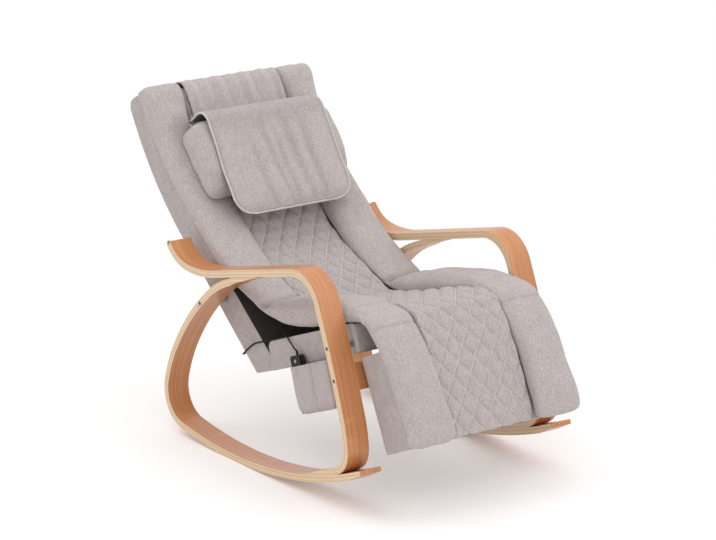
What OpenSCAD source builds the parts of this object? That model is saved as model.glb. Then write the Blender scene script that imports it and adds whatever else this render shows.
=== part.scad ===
/* [Whole chair] */
// Width over the two wooden side frames
chair_w = 672; // [640:1:720]
// Depth from the toe of the leg rest to the top of the back
chair_d = 1300; // [1260:1:1340]
// Height from the floor to the top of the head cushion
chair_h = 905; // [880:1:930]

/* [Side frames] */
// Width of the bent plywood strips, seen from the front
strip_w = 65; // [58:1:72]
// Thickness of the bent plywood strips
strip_t = 19; // [16:0.5:22]
// Glue line between two strips
glue_gap = 0.3; // [0.2:0.05:0.5]
// Radius of the runner that rocks on the floor
runner_r = 1430; // [1350:10:1600]
// Thickness left at the front tip of the runner
tip_t = 12; // [8:0.5:14]
// Length over which the runner thins at its tip
tip_run = 58; // [40:1:80]
// Radius of the bend at the back of the runner
heel_r = 100; // [80:1:106]
// Radius of the bend where the leg turns onto the runner
foot_r = 70; // [50:1:74]
// Length of the foot that lies on the runner
foot_len = 150; // [110:1:200]
// Length over which a glued end is scarfed to nothing
scarf_len = 140; // [100:1:160]
// Thickness left at the end of a scarf
scarf_t = 0.8; // [0.6:0.1:1.5]
// Thickness of the front cross rail
rail_t = 22; // [18:1:26]
// Height of the front cross rail
rail_h = 68; // [60:1:76]

/* [Fasteners] */
// Diameter of the frame bolts
bolt_d = 6; // [5:0.5:9]
// Diameter of the bolt heads
bolt_head_d = 10; // [9:0.5:14]
// Height of the bolt heads
bolt_head_h = 6; // [4:0.5:7]
// Depth of a bolt in the piece that it holds
bolt_grip = 18; // [14:1:20]
// Outer diameter of the spacer sleeves
sleeve_d = 18; // [14:1:22]
// Radial clearance of a bolt in its hole
bolt_clear = 0.2; // [0.1:0.05:0.4]
// Diameter of the plug at the tail of each arm
plug_d = 10; // [8:0.5:12]
// Length of that plug
plug_len = 6; // [4:0.5:10]

/* [Seat box] */
// Space between the seat box and each side frame
box_space = 15; // [9:1:21]
// Thickness of the seat box
box_t = 76; // [70:1:84]
// Wall of the seat box
box_wall = 4; // [3:0.5:6]
// Thickness of the seat foam
seat_foam_t = 12; // [8:1:16]
// Thickness of the seat webbing
web_t = 2; // [1.5:0.5:3]
// Width of one seat web
web_w = 50; // [40:1:60]
// Thickness of the plywood members of the seat frame
seat_ply = 22; // [20:1:26]

/* [Back] */
// Space between the back shell and each side frame
shell_space = 19; // [16:1:23]
// Thickness of the back at its foot
back_t_foot = 90; // [86:1:96]
// Thickness of the back at its head
back_t_head = 70; // [66:1:78]
// Wall of the back shell
shell_wall = 4; // [3:0.5:6]
// Radius of the bend of the back
back_bend_r = 1000; // [850:10:1100]
// Half width of the window for the massage heads
window_hw = 130; // [120:1:150]
// Thickness of the plywood members of the back frame
back_ply = 20; // [19:1:26]
// Thickness of the support mesh in the window
mesh_t = 1.5; // [1:0.1:2]
// Thickness of the heating pad
heat_t = 1.2; // [0.8:0.1:1.6]

/* [Leg rest] */
// Space between the leg rest and each side frame
leg_space = 15; // [9:1:21]
// Length of the leg rest tray
leg_len = 252; // [240:1:262]
// Wall of the leg rest tray
leg_wall = 3; // [2.5:0.5:5]
// Thickness of the plywood board in the tray
leg_ply = 12; // [9:1:15]
// Diameter of the hinge pins
hinge_pin_d = 8; // [6:0.5:9]
// Outer diameter of the hinge knuckles
knuckle_d = 14; // [13:0.5:16]
// Width of the middle knuckle of each hinge
knuckle_w = 23; // [18:1:28]
// Thickness of the hinge leaves
leaf_t = 3; // [2.5:0.25:3.5]
// Distance of each hinge from the middle of the chair
hinge_x = 180; // [150:1:200]

/* [Cushions] */
// Space between the bolsters and each side frame
pad_space = 3; // [2:1:13]
// Distance of the seams of the quilted panel from the middle
seam_x = 130; // [124:1:136]
// Thickness of a full bolster
pad_t = 70; // [60:1:76]
// Gap between a cushion and what it lies on
soft_gap = 0.4; // [0.3:0.05:0.8]
// Gap across a sewn seam
seam_gap = 0.6; // [0.4:0.1:1.2]
// Width of one quilted diamond
diamond_w = 54; // [48:1:60]
// Length of one quilted diamond
diamond_l = 72; // [66:1:84]
// Depth of the quilting channels
channel_depth = 5; // [3:0.5:7]
// Half width of the pillow
pillow_hw = 220; // [195:1:225]
// Thickness of the pillow
pillow_t = 92; // [80:1:100]
// Half width of the flap over the pillow
flap_hw = 185; // [170:1:195]
// Thickness of the sewn cloth of the flap
flap_t = 5; // [3:0.5:7]
// Gap between the cloth that hangs over the head and the bolsters
cloth_in = 4; // [1:0.5:10]
// Thickness of that cloth
cloth_t = 3; // [2:0.5:4]

/* [Massage unit] */
// Diameter of the guide rails
guide_d = 12; // [10:0.5:14]
// Distance of the guide rails from the middle
guide_x = 95; // [90:1:105]
// Diameter of the lifting screw
screw_d = 10; // [8:0.5:12]
// Diameter of the massage rollers
roller_d = 40; // [34:1:42]
// Width of the massage rollers
roller_w = 18; // [14:1:20]
// Diameter of the roller pins
roller_pin_d = 8; // [6:0.5:9]
// Diameter of the arm pivots
pivot_d = 10; // [8:0.5:11]
// Radial running clearance of shafts in their bores
run_clear = 0.06; // [0.04:0.01:0.1]

/* [Pocket and handset] */
// Width of the pocket
pocket_w = 170; // [150:1:180]
// Depth of the pocket below its rim
pocket_h = 124; // [112:1:130]
// Space inside the pocket from front to back
pocket_gap = 26; // [24:1:32]
// Thickness of the pocket cloth
pocket_t = 2; // [1.5:0.5:3]
// Width of the handset
handset_w = 43; // [40:1:48]
// Length of the handset
handset_l = 149; // [140:1:156]
// Thickness of the handset
handset_t = 16; // [15:0.5:18]
// Diameter of a handset button
button_d = 9; // [7:0.5:10]
// Travel of a handset button
button_travel = 1; // [0.8:0.1:1.2]
// Diameter of the handset lead
lead_d = 4; // [3.5:0.1:5]

/* [Hidden] */

frame_x0 = chair_w / 2 - strip_w;
frame_x1 = chair_w / 2;
box_hw = frame_x0 - box_space;
shell_hw = frame_x0 - shell_space;
leg_hw = frame_x0 - leg_space;
pad_hw = frame_x0 - pad_space;

$fn = 48;
over = 1;
sag = 0.12;
wood = "burlywood";
cloth = "lightgray";
steel = "silver";
black = "dimgray";

// Points and curves in the side view: y runs to the back, z runs up

function unit(v) = v / norm(v);
function left(v) = [-v[1], v[0]];
function bearing(v) = atan2(v[1], v[0]);
function at_share(s) = [s[0] * chair_d, s[1] * chair_h];
function reverse(list) = [for (i = [len(list) - 1 : -1 : 0]) list[i]];
function wrap(a) = a > 180 ? a - 360 : a < -180 ? a + 360 : a;
function lerp(a, b, t) = a + (b - a) * t;

// Turn at corner i of a line, and the length that a fillet of radius r takes there
function turn(p, i) = wrap(bearing(p[i + 1] - p[i]) - bearing(p[i] - p[i - 1]));
function reach(p, r, i) = i <= 0 || i >= len(p) - 1 ? 0 : r[i] * tan(abs(turn(p, i)) / 2);
// The same, kept within the two straights beside the corner
usable = 0.98;
function fit_reach(p, r, i) = reach(p, r, i) * min(1,
    usable * norm(p[i] - p[i - 1]) / (reach(p, r, i - 1) + reach(p, r, i)),
    usable * norm(p[i + 1] - p[i]) / (reach(p, r, i) + reach(p, r, i + 1)));
function fillet(p, r, i, q) =
    let (a = turn(p, i), t = fit_reach(p, r, i), rr = t / tan(abs(a) / 2),
         d = unit(p[i] - p[i - 1]), start = p[i] - d * t, side = a > 0 ? 1 : -1,
         c = start + left(d) * rr * side,
         n = max(2, ceil(abs(a) / (2 * acos(1 - min(0.5, q / rr))))))
    [for (k = [0 : n]) let (h = bearing(d) + a * k / n) c + [sin(h), -cos(h)] * rr * side];
function has_fillet(p, r, i) = r[i] > 0 && abs(turn(p, i)) > 0.2;
// A line through the corners p with a fillet of radius r at each
function round_line(p, r, q = sag) = [
    p[0],
    for (i = [1 : len(p) - 2]) each (has_fillet(p, r, i) ? fillet(p, r, i, q) : [p[i]]),
    p[len(p) - 1]
];
// The direction of a line at its point i, and the line moved to its left by t[i]
function heading(p, i) = unit(
    (i < len(p) - 1 ? unit(p[i + 1] - p[i]) : [0, 0]) + (i > 0 ? unit(p[i] - p[i - 1]) : [0, 0]));
function miter(p, i) = i == 0 || i == len(p) - 1 ? 1 : 1 / cos(turn(p, i) / 2);
function beside(p, t) = [for (i = [0 : len(p) - 1]) p[i] + left(heading(p, i)) * t[i] * miter(p, i)];
function run(p) = [for (i = 0, s = 0; i < len(p); i = i + 1, s = s + (i < len(p) ? norm(p[i] - p[i - 1]) : 0)) s];
function same(p, t) = [for (q = p) t];
// Where a line first passes the height z
function cross_z(p, z) = [for (i = [0 : len(p) - 2]) if ((p[i][1] - z) * (p[i + 1][1] - z) <= 0)
    lerp(p[i], p[i + 1], (z - p[i][1]) / (p[i + 1][1] - p[i][1]))][0];
// Corners of a rounded rectangle, the radii in the order of its corners
function rounded_rect(x0, x1, y0, y1, r) = round_line(
    [[(x0 + x1) / 2, y0], [x1, y0], [x1, y1], [x0, y1], [x0, y0], [(x0 + x1) / 2, y0]],
    [0, r[0], r[1], r[2], r[3], 0]);

// An outline in the side view, drawn as a solid from x0 to x1
module across(x0, x1, outline) {
    translate([x0, 0, 0])
        rotate([90, 0, 90])
            linear_extrude(x1 - x0)
                polygon(outline);
}

module both_sides() {
    children();
    mirror([1, 0, 0]) children();
}

// Side frames

function on_circle(r, a) = [r * sin(a), runner_r - r * cos(a)];
arm_corner_shares = [[0.2212, 0.5821], [0.1995, 0.5403], [0.1173, 0.5271], [-0.2636, 0.6604],
                     [-0.3363, 0.4238], [-0.3815, 0.2308]];
arm_bend_r = [0, 109, 330, 110, 3185, 373];
foot_share = -0.3477;
foot_run = 57;
bed_r = runner_r - strip_t - glue_gap;
foot_a = asin(foot_share * chair_d / bed_r);
foot_p = on_circle(bed_r, foot_a);
foot_corner = foot_p - [cos(foot_a), sin(foot_a)] * foot_run;
foot_steps = 6;
foot_end_a = foot_a + foot_len / bed_r * 180 / PI;
arm_line = concat(
    round_line(concat([for (s = arm_corner_shares) at_share(s)], [foot_corner, foot_p]),
               concat(arm_bend_r, [foot_r, 0])),
    [for (k = [1 : foot_steps]) on_circle(bed_r, lerp(foot_a, foot_end_a, k / foot_steps))]);
arm_run = run(arm_line);
arm_total = arm_run[len(arm_run) - 1];
arm_thick = [for (s = arm_run) min(strip_t, scarf_t + (strip_t - scarf_t) * (arm_total - s) / scarf_len)];
arm_mid = beside(arm_line, same(arm_line, strip_t / 2));

// The loop and the runner: glued under the arm, round the back and forward on the floor
arm_v = [at_share(arm_corner_shares[2]), at_share(arm_corner_shares[3])];
arm_dir = unit(arm_v[0] - arm_v[1]);
function under_arm(s) = arm_v[1] + arm_dir * s - left(arm_dir) * (strip_t + glue_gap);
loop_start = 240;
loop_bend = 361;
loop_corner_shares = [[0.0605, 0.5106], [0.1622, 0.3920], [0.2358, 0.2228]];
loop_bend_r = [250, 346, 736, 424];
heel_share = 0.1846;
heel_run = 113;
heel_a = asin(heel_share * chair_d / runner_r);
heel_p = on_circle(runner_r, heel_a);
tip_share = -0.4277;
tip_a = asin(tip_share * chair_d / runner_r);
thin_a = tip_a + tip_run / runner_r * 180 / PI;
runner_steps = 24;
function runner_thin(a) = a > thin_a ? 0 : (strip_t - tip_t) * (thin_a - a) / (thin_a - tip_a);
runner_as = concat([for (k = [1 : runner_steps]) lerp(heel_a, thin_a, k / runner_steps)], [tip_a]);
loop_line = round_line(
    concat([under_arm(loop_start), under_arm(loop_bend)],
           [for (s = loop_corner_shares) at_share(s)],
           [heel_p + [cos(heel_a), sin(heel_a)] * heel_run, heel_p]),
    concat([0], loop_bend_r, [heel_r, 0]));
rocker_line = concat(loop_line, [for (a = runner_as) on_circle(runner_r, a)]);
rocker_out = concat(loop_line, [for (a = runner_as) on_circle(runner_r - runner_thin(a), a)]);
rocker_run = run(rocker_line);
rocker_thick = [for (s = rocker_run) -min(strip_t, scarf_t + (strip_t - scarf_t) * s / scarf_len)];
rocker_mid = beside(rocker_line, same(rocker_line, -strip_t / 2));

// Heights of the bolts, as shares of the chair's height
rear_bolt_share = 0.431;
seat_bolt_share = 0.452;
rail_bolt_share = 0.368;
rear_bolt = cross_z(rocker_mid, rear_bolt_share * chair_h);
seat_bolt = cross_z(arm_mid, seat_bolt_share * chair_h);
rail_bolt = cross_z(arm_mid, rail_bolt_share * chair_h);
rail_lean = 20;
tail_plug = lerp(arm_mid[0], arm_mid[1], 0.35);
head_room = bolt_head_h + 0.5 * bolt_clear;

module bolt_hole(p) {
    translate([frame_x0 - over, p[0], p[1]])
        rotate([0, 90, 0]) cylinder(r = bolt_d / 2 + bolt_clear, h = strip_w + 2 * over);
    translate([frame_x1 - head_room, p[0], p[1]])
        rotate([0, 90, 0]) cylinder(r = bolt_head_d / 2 + bolt_clear, h = head_room + over);
}

module arm_leg() {
    color(wood) difference() {
        across(frame_x0, frame_x1, concat(arm_line, reverse(beside(arm_line, arm_thick))));
        bolt_hole(seat_bolt);
        bolt_hole(rail_bolt);
        translate([frame_x1 - plug_len, tail_plug[0], tail_plug[1]])
            rotate([0, 90, 0]) cylinder(d = plug_d, h = plug_len + over);
    }
}

module rocker() {
    color(wood) difference() {
        across(frame_x0, frame_x1, concat(rocker_out, reverse(beside(rocker_line, rocker_thick))));
        bolt_hole(rear_bolt);
    }
}

module arm_leg_right() { arm_leg(); }
module arm_leg_left() { mirror([1, 0, 0]) arm_leg(); }
module rocker_right() { rocker(); }
module rocker_left() { mirror([1, 0, 0]) rocker(); }

rail_edge_r = 3;
module front_cross_rail() {
    color("sandybrown") difference() {
        translate([-frame_x0, rail_bolt[0], rail_bolt[1]]) rotate([-rail_lean, 0, 0])
            rotate([90, 0, 90]) linear_extrude(2 * frame_x0)
                polygon(rounded_rect(-rail_t / 2, rail_t / 2, -rail_h / 2, rail_h / 2,
                                     [rail_edge_r, rail_edge_r, rail_edge_r, rail_edge_r]));
        both_sides() translate([frame_x0 - bolt_grip - bolt_clear, rail_bolt[0], rail_bolt[1]])
            rotate([0, 90, 0]) cylinder(r = bolt_d / 2 + bolt_clear, h = bolt_grip + over);
    }
}

// A bolt along x with its head at the outer face, its tip at x = end
module bolt(p, end) {
    translate([end, p[0], p[1]]) rotate([0, 90, 0])
        cylinder(d = bolt_d, h = frame_x1 - head_room - end);
    translate([frame_x1 - head_room, p[0], p[1]]) rotate([0, 90, 0])
        difference() {
            cylinder(d = bolt_head_d, h = bolt_head_h);
            translate([0, 0, bolt_head_h / 2]) cylinder(d = bolt_d * 0.6, h = bolt_head_h, $fn = 6);
        }
}

module frame_bolts() {
    color(black) both_sides() {
        bolt(rear_bolt, shell_hw - bolt_grip);
        bolt(seat_bolt, box_hw - bolt_grip);
        bolt(rail_bolt, frame_x0 - bolt_grip);
    }
}

module sleeve(p, x0) {
    translate([x0, p[0], p[1]]) rotate([0, 90, 0]) difference() {
        cylinder(d = sleeve_d, h = frame_x0 - x0);
        translate([0, 0, -over]) cylinder(r = bolt_d / 2 + bolt_clear, h = frame_x0 - x0 + 2 * over);
    }
}

module spacer_sleeves() {
    color(steel) both_sides() {
        sleeve(rear_bolt, shell_hw);
        sleeve(seat_bolt, box_hw);
    }
}

module edge_plugs() {
    color("saddlebrown") both_sides()
        translate([frame_x1 - plug_len, tail_plug[0], tail_plug[1]])
            rotate([0, 90, 0]) cylinder(d = plug_d, h = plug_len);
}

// The seat: f runs forward along its bottom face, v stands on that face

seat_end_shares = [[-0.0515, 0.2733], [-0.3388, 0.4316]];
seat_o = at_share(seat_end_shares[0]);
seat_dir = unit(at_share(seat_end_shares[1]) - seat_o);
seat_len = norm(at_share(seat_end_shares[1]) - seat_o);
seat_tilt = 180 - bearing(seat_dir);
function seat_pt(f, v) = seat_o + seat_dir * f - left(seat_dir) * v;

// Turns a solid drawn with y to the rear of the seat's lower back edge
module at_seat() {
    translate([0, seat_o[0], seat_o[1]]) rotate([-seat_tilt, 0, 0]) children();
}

// A prism in the seat's own axes: across from -hw to hw, f0 to f1, v0 to v1
module seat_block(hw, f0, f1, v0, v1) {
    at_seat() translate([-hw, -f1, v0]) cube([2 * hw, f1 - f0, v1 - v0]);
}

box_edge_r = [8, 18, 12, 14];
module seat_bolt_holes(x0) {
    both_sides() translate([x0, seat_bolt[0], seat_bolt[1]]) rotate([0, 90, 0])
        cylinder(r = bolt_d / 2 + bolt_clear, h = box_hw - x0 + over);
}

module seat_box() {
    color(cloth) difference() {
        at_seat() translate([-box_hw, 0, 0]) rotate([90, 0, 90]) linear_extrude(2 * box_hw)
            polygon(rounded_rect(-seat_len, 0, 0, box_t, box_edge_r));
        seat_block(box_hw - box_wall, box_wall, seat_len - box_wall, box_wall, box_t + over);
        seat_bolt_holes(box_hw - 2 * box_wall);
    }
}

fit_gap = 0.3;
frame_top = box_t - seat_foam_t - web_t - 2 * fit_gap;
seat_in = box_hw - box_wall - fit_gap;
module seat_frame() {
    color(wood) difference() {
        seat_block(seat_in, box_wall + fit_gap, seat_len - box_wall - fit_gap, box_wall, frame_top);
        seat_block(seat_in - seat_ply, box_wall + seat_ply, seat_len - box_wall - seat_ply,
                   -over, box_t);
        seat_bolt_holes(box_hw - bolt_grip - fit_gap);
    }
}

webs_long = 6;
webs_cross = 5;
module seat_webbing() {
    span_f = seat_len - 2 * box_wall - 2 * fit_gap;
    color(black) {
        for (i = [0 : webs_long - 1]) {
            x = lerp(-seat_in + web_w / 2, seat_in - web_w / 2, i / (webs_long - 1));
            translate([x, 0, 0])
                seat_block(web_w / 2, box_wall + fit_gap, seat_len - box_wall - fit_gap,
                           frame_top, frame_top + web_t);
        }
        for (i = [0 : webs_cross - 1]) {
            f = box_wall + fit_gap + lerp(web_w / 2, span_f - web_w / 2, i / (webs_cross - 1));
            seat_block(seat_in, f - web_w / 2, f + web_w / 2, frame_top, frame_top + web_t);
        }
    }
}

module seat_foam() {
    color("ivory") seat_block(seat_in, box_wall + fit_gap, seat_len - box_wall - fit_gap,
                              box_t - seat_foam_t - fit_gap, box_t - fit_gap);
}

control_hw = 80;
control_len = 100;
control_t = 32;
lid_t = 3;
module control_box() {
    f0 = box_wall + seat_ply;
    color(black) {
        seat_block(control_hw, f0, f0 + control_len, box_wall, box_wall + control_t - lid_t);
        seat_block(control_hw + lid_t, f0, f0 + control_len + lid_t,
                   box_wall + control_t - lid_t, box_wall + control_t);
    }
}

// The back: s runs up its rear face from the foot, d stands off that face to the front

back_corner_shares = [[0.0092, 0.2431], [0.3804, 0.6909], [0.4692, 0.9149]];
back_c = [for (s = back_corner_shares) at_share(s)];
back_a0 = bearing(back_c[1] - back_c[0]);
back_a1 = bearing(back_c[2] - back_c[1]);
back_reach = back_bend_r * tan((back_a1 - back_a0) / 2);
back_s1 = norm(back_c[1] - back_c[0]) - back_reach;
back_s2 = back_s1 + back_bend_r * (back_a1 - back_a0) * PI / 180;
back_len = back_s2 + norm(back_c[2] - back_c[1]) - back_reach;
function dir(a) = [cos(a), sin(a)];
back_centre = back_c[0] + dir(back_a0) * back_s1 + left(dir(back_a0)) * back_bend_r;
function back_angle(s) = s < back_s1 ? back_a0 : s < back_s2 ?
    back_a0 + (s - back_s1) / back_bend_r * 180 / PI : back_a1;
function back_foot(s) = s < back_s1 ? back_c[0] + dir(back_a0) * s :
    s < back_s2 ? back_centre - left(dir(back_angle(s))) * back_bend_r :
    back_centre - left(dir(back_a1)) * back_bend_r + dir(back_a1) * (s - back_s2);
function back_pt(s, d) = back_foot(s) + left(dir(back_angle(s))) * d;
function back_t(s) = lerp(back_t_foot, back_t_head, s / back_len);

back_steps = 26;
function back_row(s0, s1) = [for (k = [0 : back_steps]) lerp(s0, s1, k / back_steps)];
// Outline of a layer of the back: g0 and g1 are measured back from its front face
function front_layer(s0, s1, g0, g1) = concat(
    [for (s = back_row(s0, s1)) back_pt(s, back_t(s) - g0)],
    reverse([for (s = back_row(s0, s1)) back_pt(s, back_t(s) - g1)]));

shell_top_r = 26;
nose_run = 20;
function shell_outline(in) =
    let (rows = back_row(in, back_len - in),
         rear = [for (s = rows) back_pt(s, in)],
         front = reverse([for (s = rows) back_pt(s, back_t(s) - in)]),
         low = [for (p = [seat_pt(nose_run, in), back_pt(-2 * nose_run, back_t_foot - in)]) p],
         all = concat([rear[2]], [for (i = [3 : len(rear) - 1]) rear[i]], front, reverse(low),
                      [rear[0], rear[1], rear[2]]),
         radii = [for (i = [0 : len(all) - 1])
                  i == len(rear) - 3 || i == len(rear) - 2 ? max(shell_top_r - in, 0) : 0])
    round_line(all, radii);

window_s_shares = [0.16, 0.66];
window_s0 = window_s_shares[0] * back_len;
window_s1 = window_s_shares[1] * back_len;
inlet_s_share = 0.04;
inlet_x = -150;
inlet_r = 5.5;
inlet_bore_r = 3.2;
inlet_len = 12;
inlet_flange = 2.5;
grommet_s_share = 0.095;
grommet_x = -212;
grommet_r = 7;
grommet_len = 9;

// Places a solid on the back at s, with y up the back and z to the front
module at_back(s = 0) {
    translate([0, back_foot(s)[0], back_foot(s)[1]]) rotate([back_angle(s), 0, 0]) children();
}

module back_shell() {
    color(cloth) difference() {
        across(-shell_hw, shell_hw, shell_outline(0));
        intersection() {
            across(-shell_hw + shell_wall, shell_hw - shell_wall, shell_outline(shell_wall));
            seat_block(shell_hw, -2 * back_len, -shell_wall - fit_gap, -2 * back_len, 2 * back_len);
        }
        seat_block(shell_hw + over, -fit_gap, seat_len, -box_t, 2 * box_t);
        across(-window_hw, window_hw, front_layer(window_s0, window_s1, shell_wall + over, -over));
        both_sides() translate([shell_hw - 2 * shell_wall, rear_bolt[0], rear_bolt[1]])
            rotate([0, 90, 0]) cylinder(r = bolt_d / 2 + bolt_clear, h = 3 * shell_wall);
        at_back(inlet_s_share * back_len) translate([inlet_x, 0, -over])
            cylinder(r = inlet_r + bolt_clear, h = shell_wall + 2 * over);
        at_back(grommet_s_share * back_len) translate([grommet_x, 0, -over])
            cylinder(r = grommet_r, h = shell_wall + 2 * over);
    }
}

ply_in = 8;
cross_s_shares = [0.072, 0.56, 0.945];
low_cross = cross_s_shares[0] * back_len;
mid_cross = cross_s_shares[1] * back_len;
top_cross = cross_s_shares[2] * back_len;
guide_z = 26;
guide_grip = 10;
back_in = shell_hw - shell_wall - fit_gap;
module cross_member(s, t) {
    at_back(s) translate([-back_in, 0, shell_wall + 2 * fit_gap])
        cube([2 * back_in, back_ply, t]);
}

module back_frame() {
    member_t = back_t_head - 2 * ply_in;
    s0 = 2 * shell_wall;
    s1 = back_len - shell_top_r - fit_gap;
    color(wood) difference() {
        union() {
            both_sides() across(back_in - back_ply, back_in, concat(
                [for (s = back_row(s0, s1)) back_pt(s, shell_wall + fit_gap)],
                reverse([for (s = back_row(s0, s1)) back_pt(s, member_t)])));
            cross_member(low_cross, member_t - ply_in);
            cross_member(mid_cross, member_t - ply_in);
            cross_member(top_cross, member_t - ply_in);
        }
        both_sides() translate([shell_hw - bolt_grip - fit_gap, rear_bolt[0], rear_bolt[1]])
            rotate([0, 90, 0]) cylinder(r = bolt_d / 2 + bolt_clear, h = bolt_grip + over);
        at_back() {
            both_sides() translate([guide_x, low_cross + back_ply - guide_grip, guide_z])
                rotate([-90, 0, 0])
                    cylinder(r = guide_d / 2 + run_clear, h = mid_cross - low_cross - back_ply + 2 * guide_grip);
            translate([0, low_cross - over, guide_z]) rotate([-90, 0, 0])
                cylinder(r = journal_d / 2 + run_clear, h = mid_cross - low_cross + guide_grip + over);
        }
    }
}

mesh_gap = 0.3;
module support_mesh() {
    g1 = shell_wall - mesh_gap;
    color(black)
        across(-window_hw + fit_gap, window_hw - fit_gap,
               front_layer(window_s0 + fit_gap, window_s1 - fit_gap, g1, g1 - mesh_t));
}

heat_hw = 105;
heat_s_shares = [0.33, 0.6];
module heating_pad() {
    g1 = shell_wall - 2 * mesh_gap - mesh_t;
    color("darkorange")
        across(-heat_hw, heat_hw, front_layer(heat_s_shares[0] * back_len, heat_s_shares[1] * back_len,
                                              g1, g1 - heat_t));
}

// The massage unit, on two guide rails in the lower half of the back

journal_d = 8;
module carriage_rails() {
    color(steel) at_back() both_sides()
        translate([guide_x, low_cross + back_ply - guide_grip, guide_z]) rotate([-90, 0, 0])
            cylinder(d = guide_d, h = mid_cross - low_cross - back_ply + 2 * guide_grip);
}

screw_gap = 1.5;
module lift_screw() {
    s0 = low_cross + back_ply + screw_gap;
    s1 = mid_cross - screw_gap;
    color(steel) at_back() translate([0, 0, guide_z]) rotate([-90, 0, 0]) {
        translate([0, 0, s0]) cylinder(d = screw_d, h = s1 - s0);
        translate([0, 0, low_cross + screw_gap])
            cylinder(d = journal_d, h = mid_cross - low_cross + guide_grip - 2 * screw_gap);
    }
}

motor_d = 34;
motor_gap = 0.2;
module travel_motor() {
    s0 = 3 * shell_wall;
    color(black) at_back() translate([0, s0, guide_z]) rotate([-90, 0, 0])
        cylinder(d = motor_d, h = low_cross - s0 - motor_gap);
}

// The carriage rests at its lowest place, and rises along the rails
rest_s = 200;
travel = 200;
bar_hs = 20;
bar_z0 = 14;
bar_z1 = 33;
bearing_hs = 38;
bearing_hw = 13;
pivot_x = 30;
arm_bar_t = 8;
cap_t = 2;
arm_gap = 0.3;
cap_d = pivot_d + 5;
module carriage() {
    color(steel) at_back() translate([0, rest_s, 0]) difference() {
        union() {
            translate([-guide_x, -bar_hs, bar_z0]) cube([2 * guide_x, 2 * bar_hs, bar_z1 - bar_z0]);
            both_sides() translate([guide_x - bearing_hw, -bearing_hs, bar_z0])
                cube([2 * bearing_hw, 2 * bearing_hs, 2 * (guide_z - bar_z0)]);
            both_sides() translate([pivot_x, 0, bar_z1 - over])
                cylinder(d = pivot_d, h = arm_bar_t + 2 * arm_gap + cap_t + over);
            both_sides() translate([pivot_x, 0, bar_z1 + arm_bar_t + 2 * arm_gap])
                cylinder(d = cap_d, h = cap_t);
        }
        both_sides() translate([guide_x, -bearing_hs - over, guide_z]) rotate([-90, 0, 0])
            cylinder(r = guide_d / 2 + run_clear, h = 2 * bearing_hs + 2 * over);
        translate([0, -bar_hs - over, guide_z]) rotate([-90, 0, 0])
            cylinder(r = screw_d / 2 + run_clear, h = 2 * bar_hs + 2 * over);
    }
}

gearbox_hw = 15;
gearbox_t = 26;
knead_d = 24;
knead_len = 40;
module kneading_motor() {
    color(black) at_back() translate([0, rest_s, bar_z1]) {
        translate([-gearbox_hw, -bar_hs, 0]) cube([2 * gearbox_hw, 2 * bar_hs, gearbox_t]);
        translate([0, bar_hs - over, gearbox_t / 2]) rotate([-90, 0, 0])
            cylinder(d = knead_d, h = knead_len + over);
    }
}

roller_x = 60;
roller_s = 45;
roller_z = 54;
arm_plate_t = 5;
arm_plate_x = roller_x + roller_w / 2 + 2 * arm_gap;
arm_end = 12;
module massage_arm() {
    color("gray") at_back() translate([0, rest_s, 0]) difference() {
        union() {
            translate([pivot_x - cap_d / 2, -arm_end, bar_z1 + arm_gap])
                cube([arm_plate_x + arm_plate_t - pivot_x + cap_d / 2, 2 * arm_end, arm_bar_t]);
            translate([arm_plate_x, -roller_s - arm_end, bar_z1 + arm_gap])
                cube([arm_plate_t, 2 * (roller_s + arm_end), roller_z + arm_end - bar_z1 - arm_gap]);
            for (s = [-roller_s, roller_s]) translate([roller_x - roller_w / 2 - arm_gap, s, roller_z])
                rotate([0, 90, 0]) cylinder(d = roller_pin_d, h = arm_plate_x - roller_x + roller_w / 2 + over);
        }
        translate([pivot_x, 0, bar_z1]) cylinder(r = pivot_d / 2 + run_clear, h = 2 * arm_bar_t);
    }
}

module massage_arm_right() { massage_arm(); }
module massage_arm_left() { mirror([1, 0, 0]) massage_arm(); }

module roller(s) {
    bulge = roller_w / 2;
    color("seashell") at_back() translate([roller_x, rest_s + s, roller_z]) rotate([0, 90, 0])
        rotate_extrude($fn = 64) translate([0, -roller_w / 2])
            difference() {
                union() {
                    square([roller_d / 2 - bulge / 2, roller_w]);
                    translate([roller_d / 2 - bulge, bulge]) circle(r = bulge);
                }
                translate([-over, -over]) square([roller_pin_d / 2 + run_clear + over, roller_w + 2 * over]);
            }
}

module roller_right_lower() { roller(-roller_s); }
module roller_right_upper() { roller(roller_s); }
module roller_left_lower() { mirror([1, 0, 0]) roller(-roller_s); }
module roller_left_upper() { mirror([1, 0, 0]) roller(roller_s); }

module power_inlet() {
    color(black) at_back(inlet_s_share * back_len) translate([inlet_x, 0, 0]) {
        difference() {
            union() {
                cylinder(r = inlet_r, h = inlet_len);
                translate([0, 0, -inlet_flange]) cylinder(r = 1.5 * inlet_r, h = inlet_flange);
            }
            translate([0, 0, -inlet_flange - over])
                cylinder(r = inlet_bore_r, h = inlet_len + inlet_flange - over);
        }
        translate([0, 0, -inlet_flange]) cylinder(r = inlet_bore_r / 3, h = inlet_len + inlet_flange);
    }
}

module lead_grommet() {
    color(black) at_back(grommet_s_share * back_len) translate([grommet_x, 0, -grommet_len + shell_wall])
        difference() {
            union() {
                cylinder(r1 = lead_d, r2 = 1.3 * grommet_r, h = grommet_len - shell_wall);
                cylinder(r = grommet_r - bolt_clear / 2, h = grommet_len);
            }
            translate([0, 0, -over]) cylinder(r = lead_d / 2 + bolt_clear, h = grommet_len + 2 * over);
        }
}

// The leg rest: a runs down from its top edge, b stands off its rear face to the front

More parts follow.
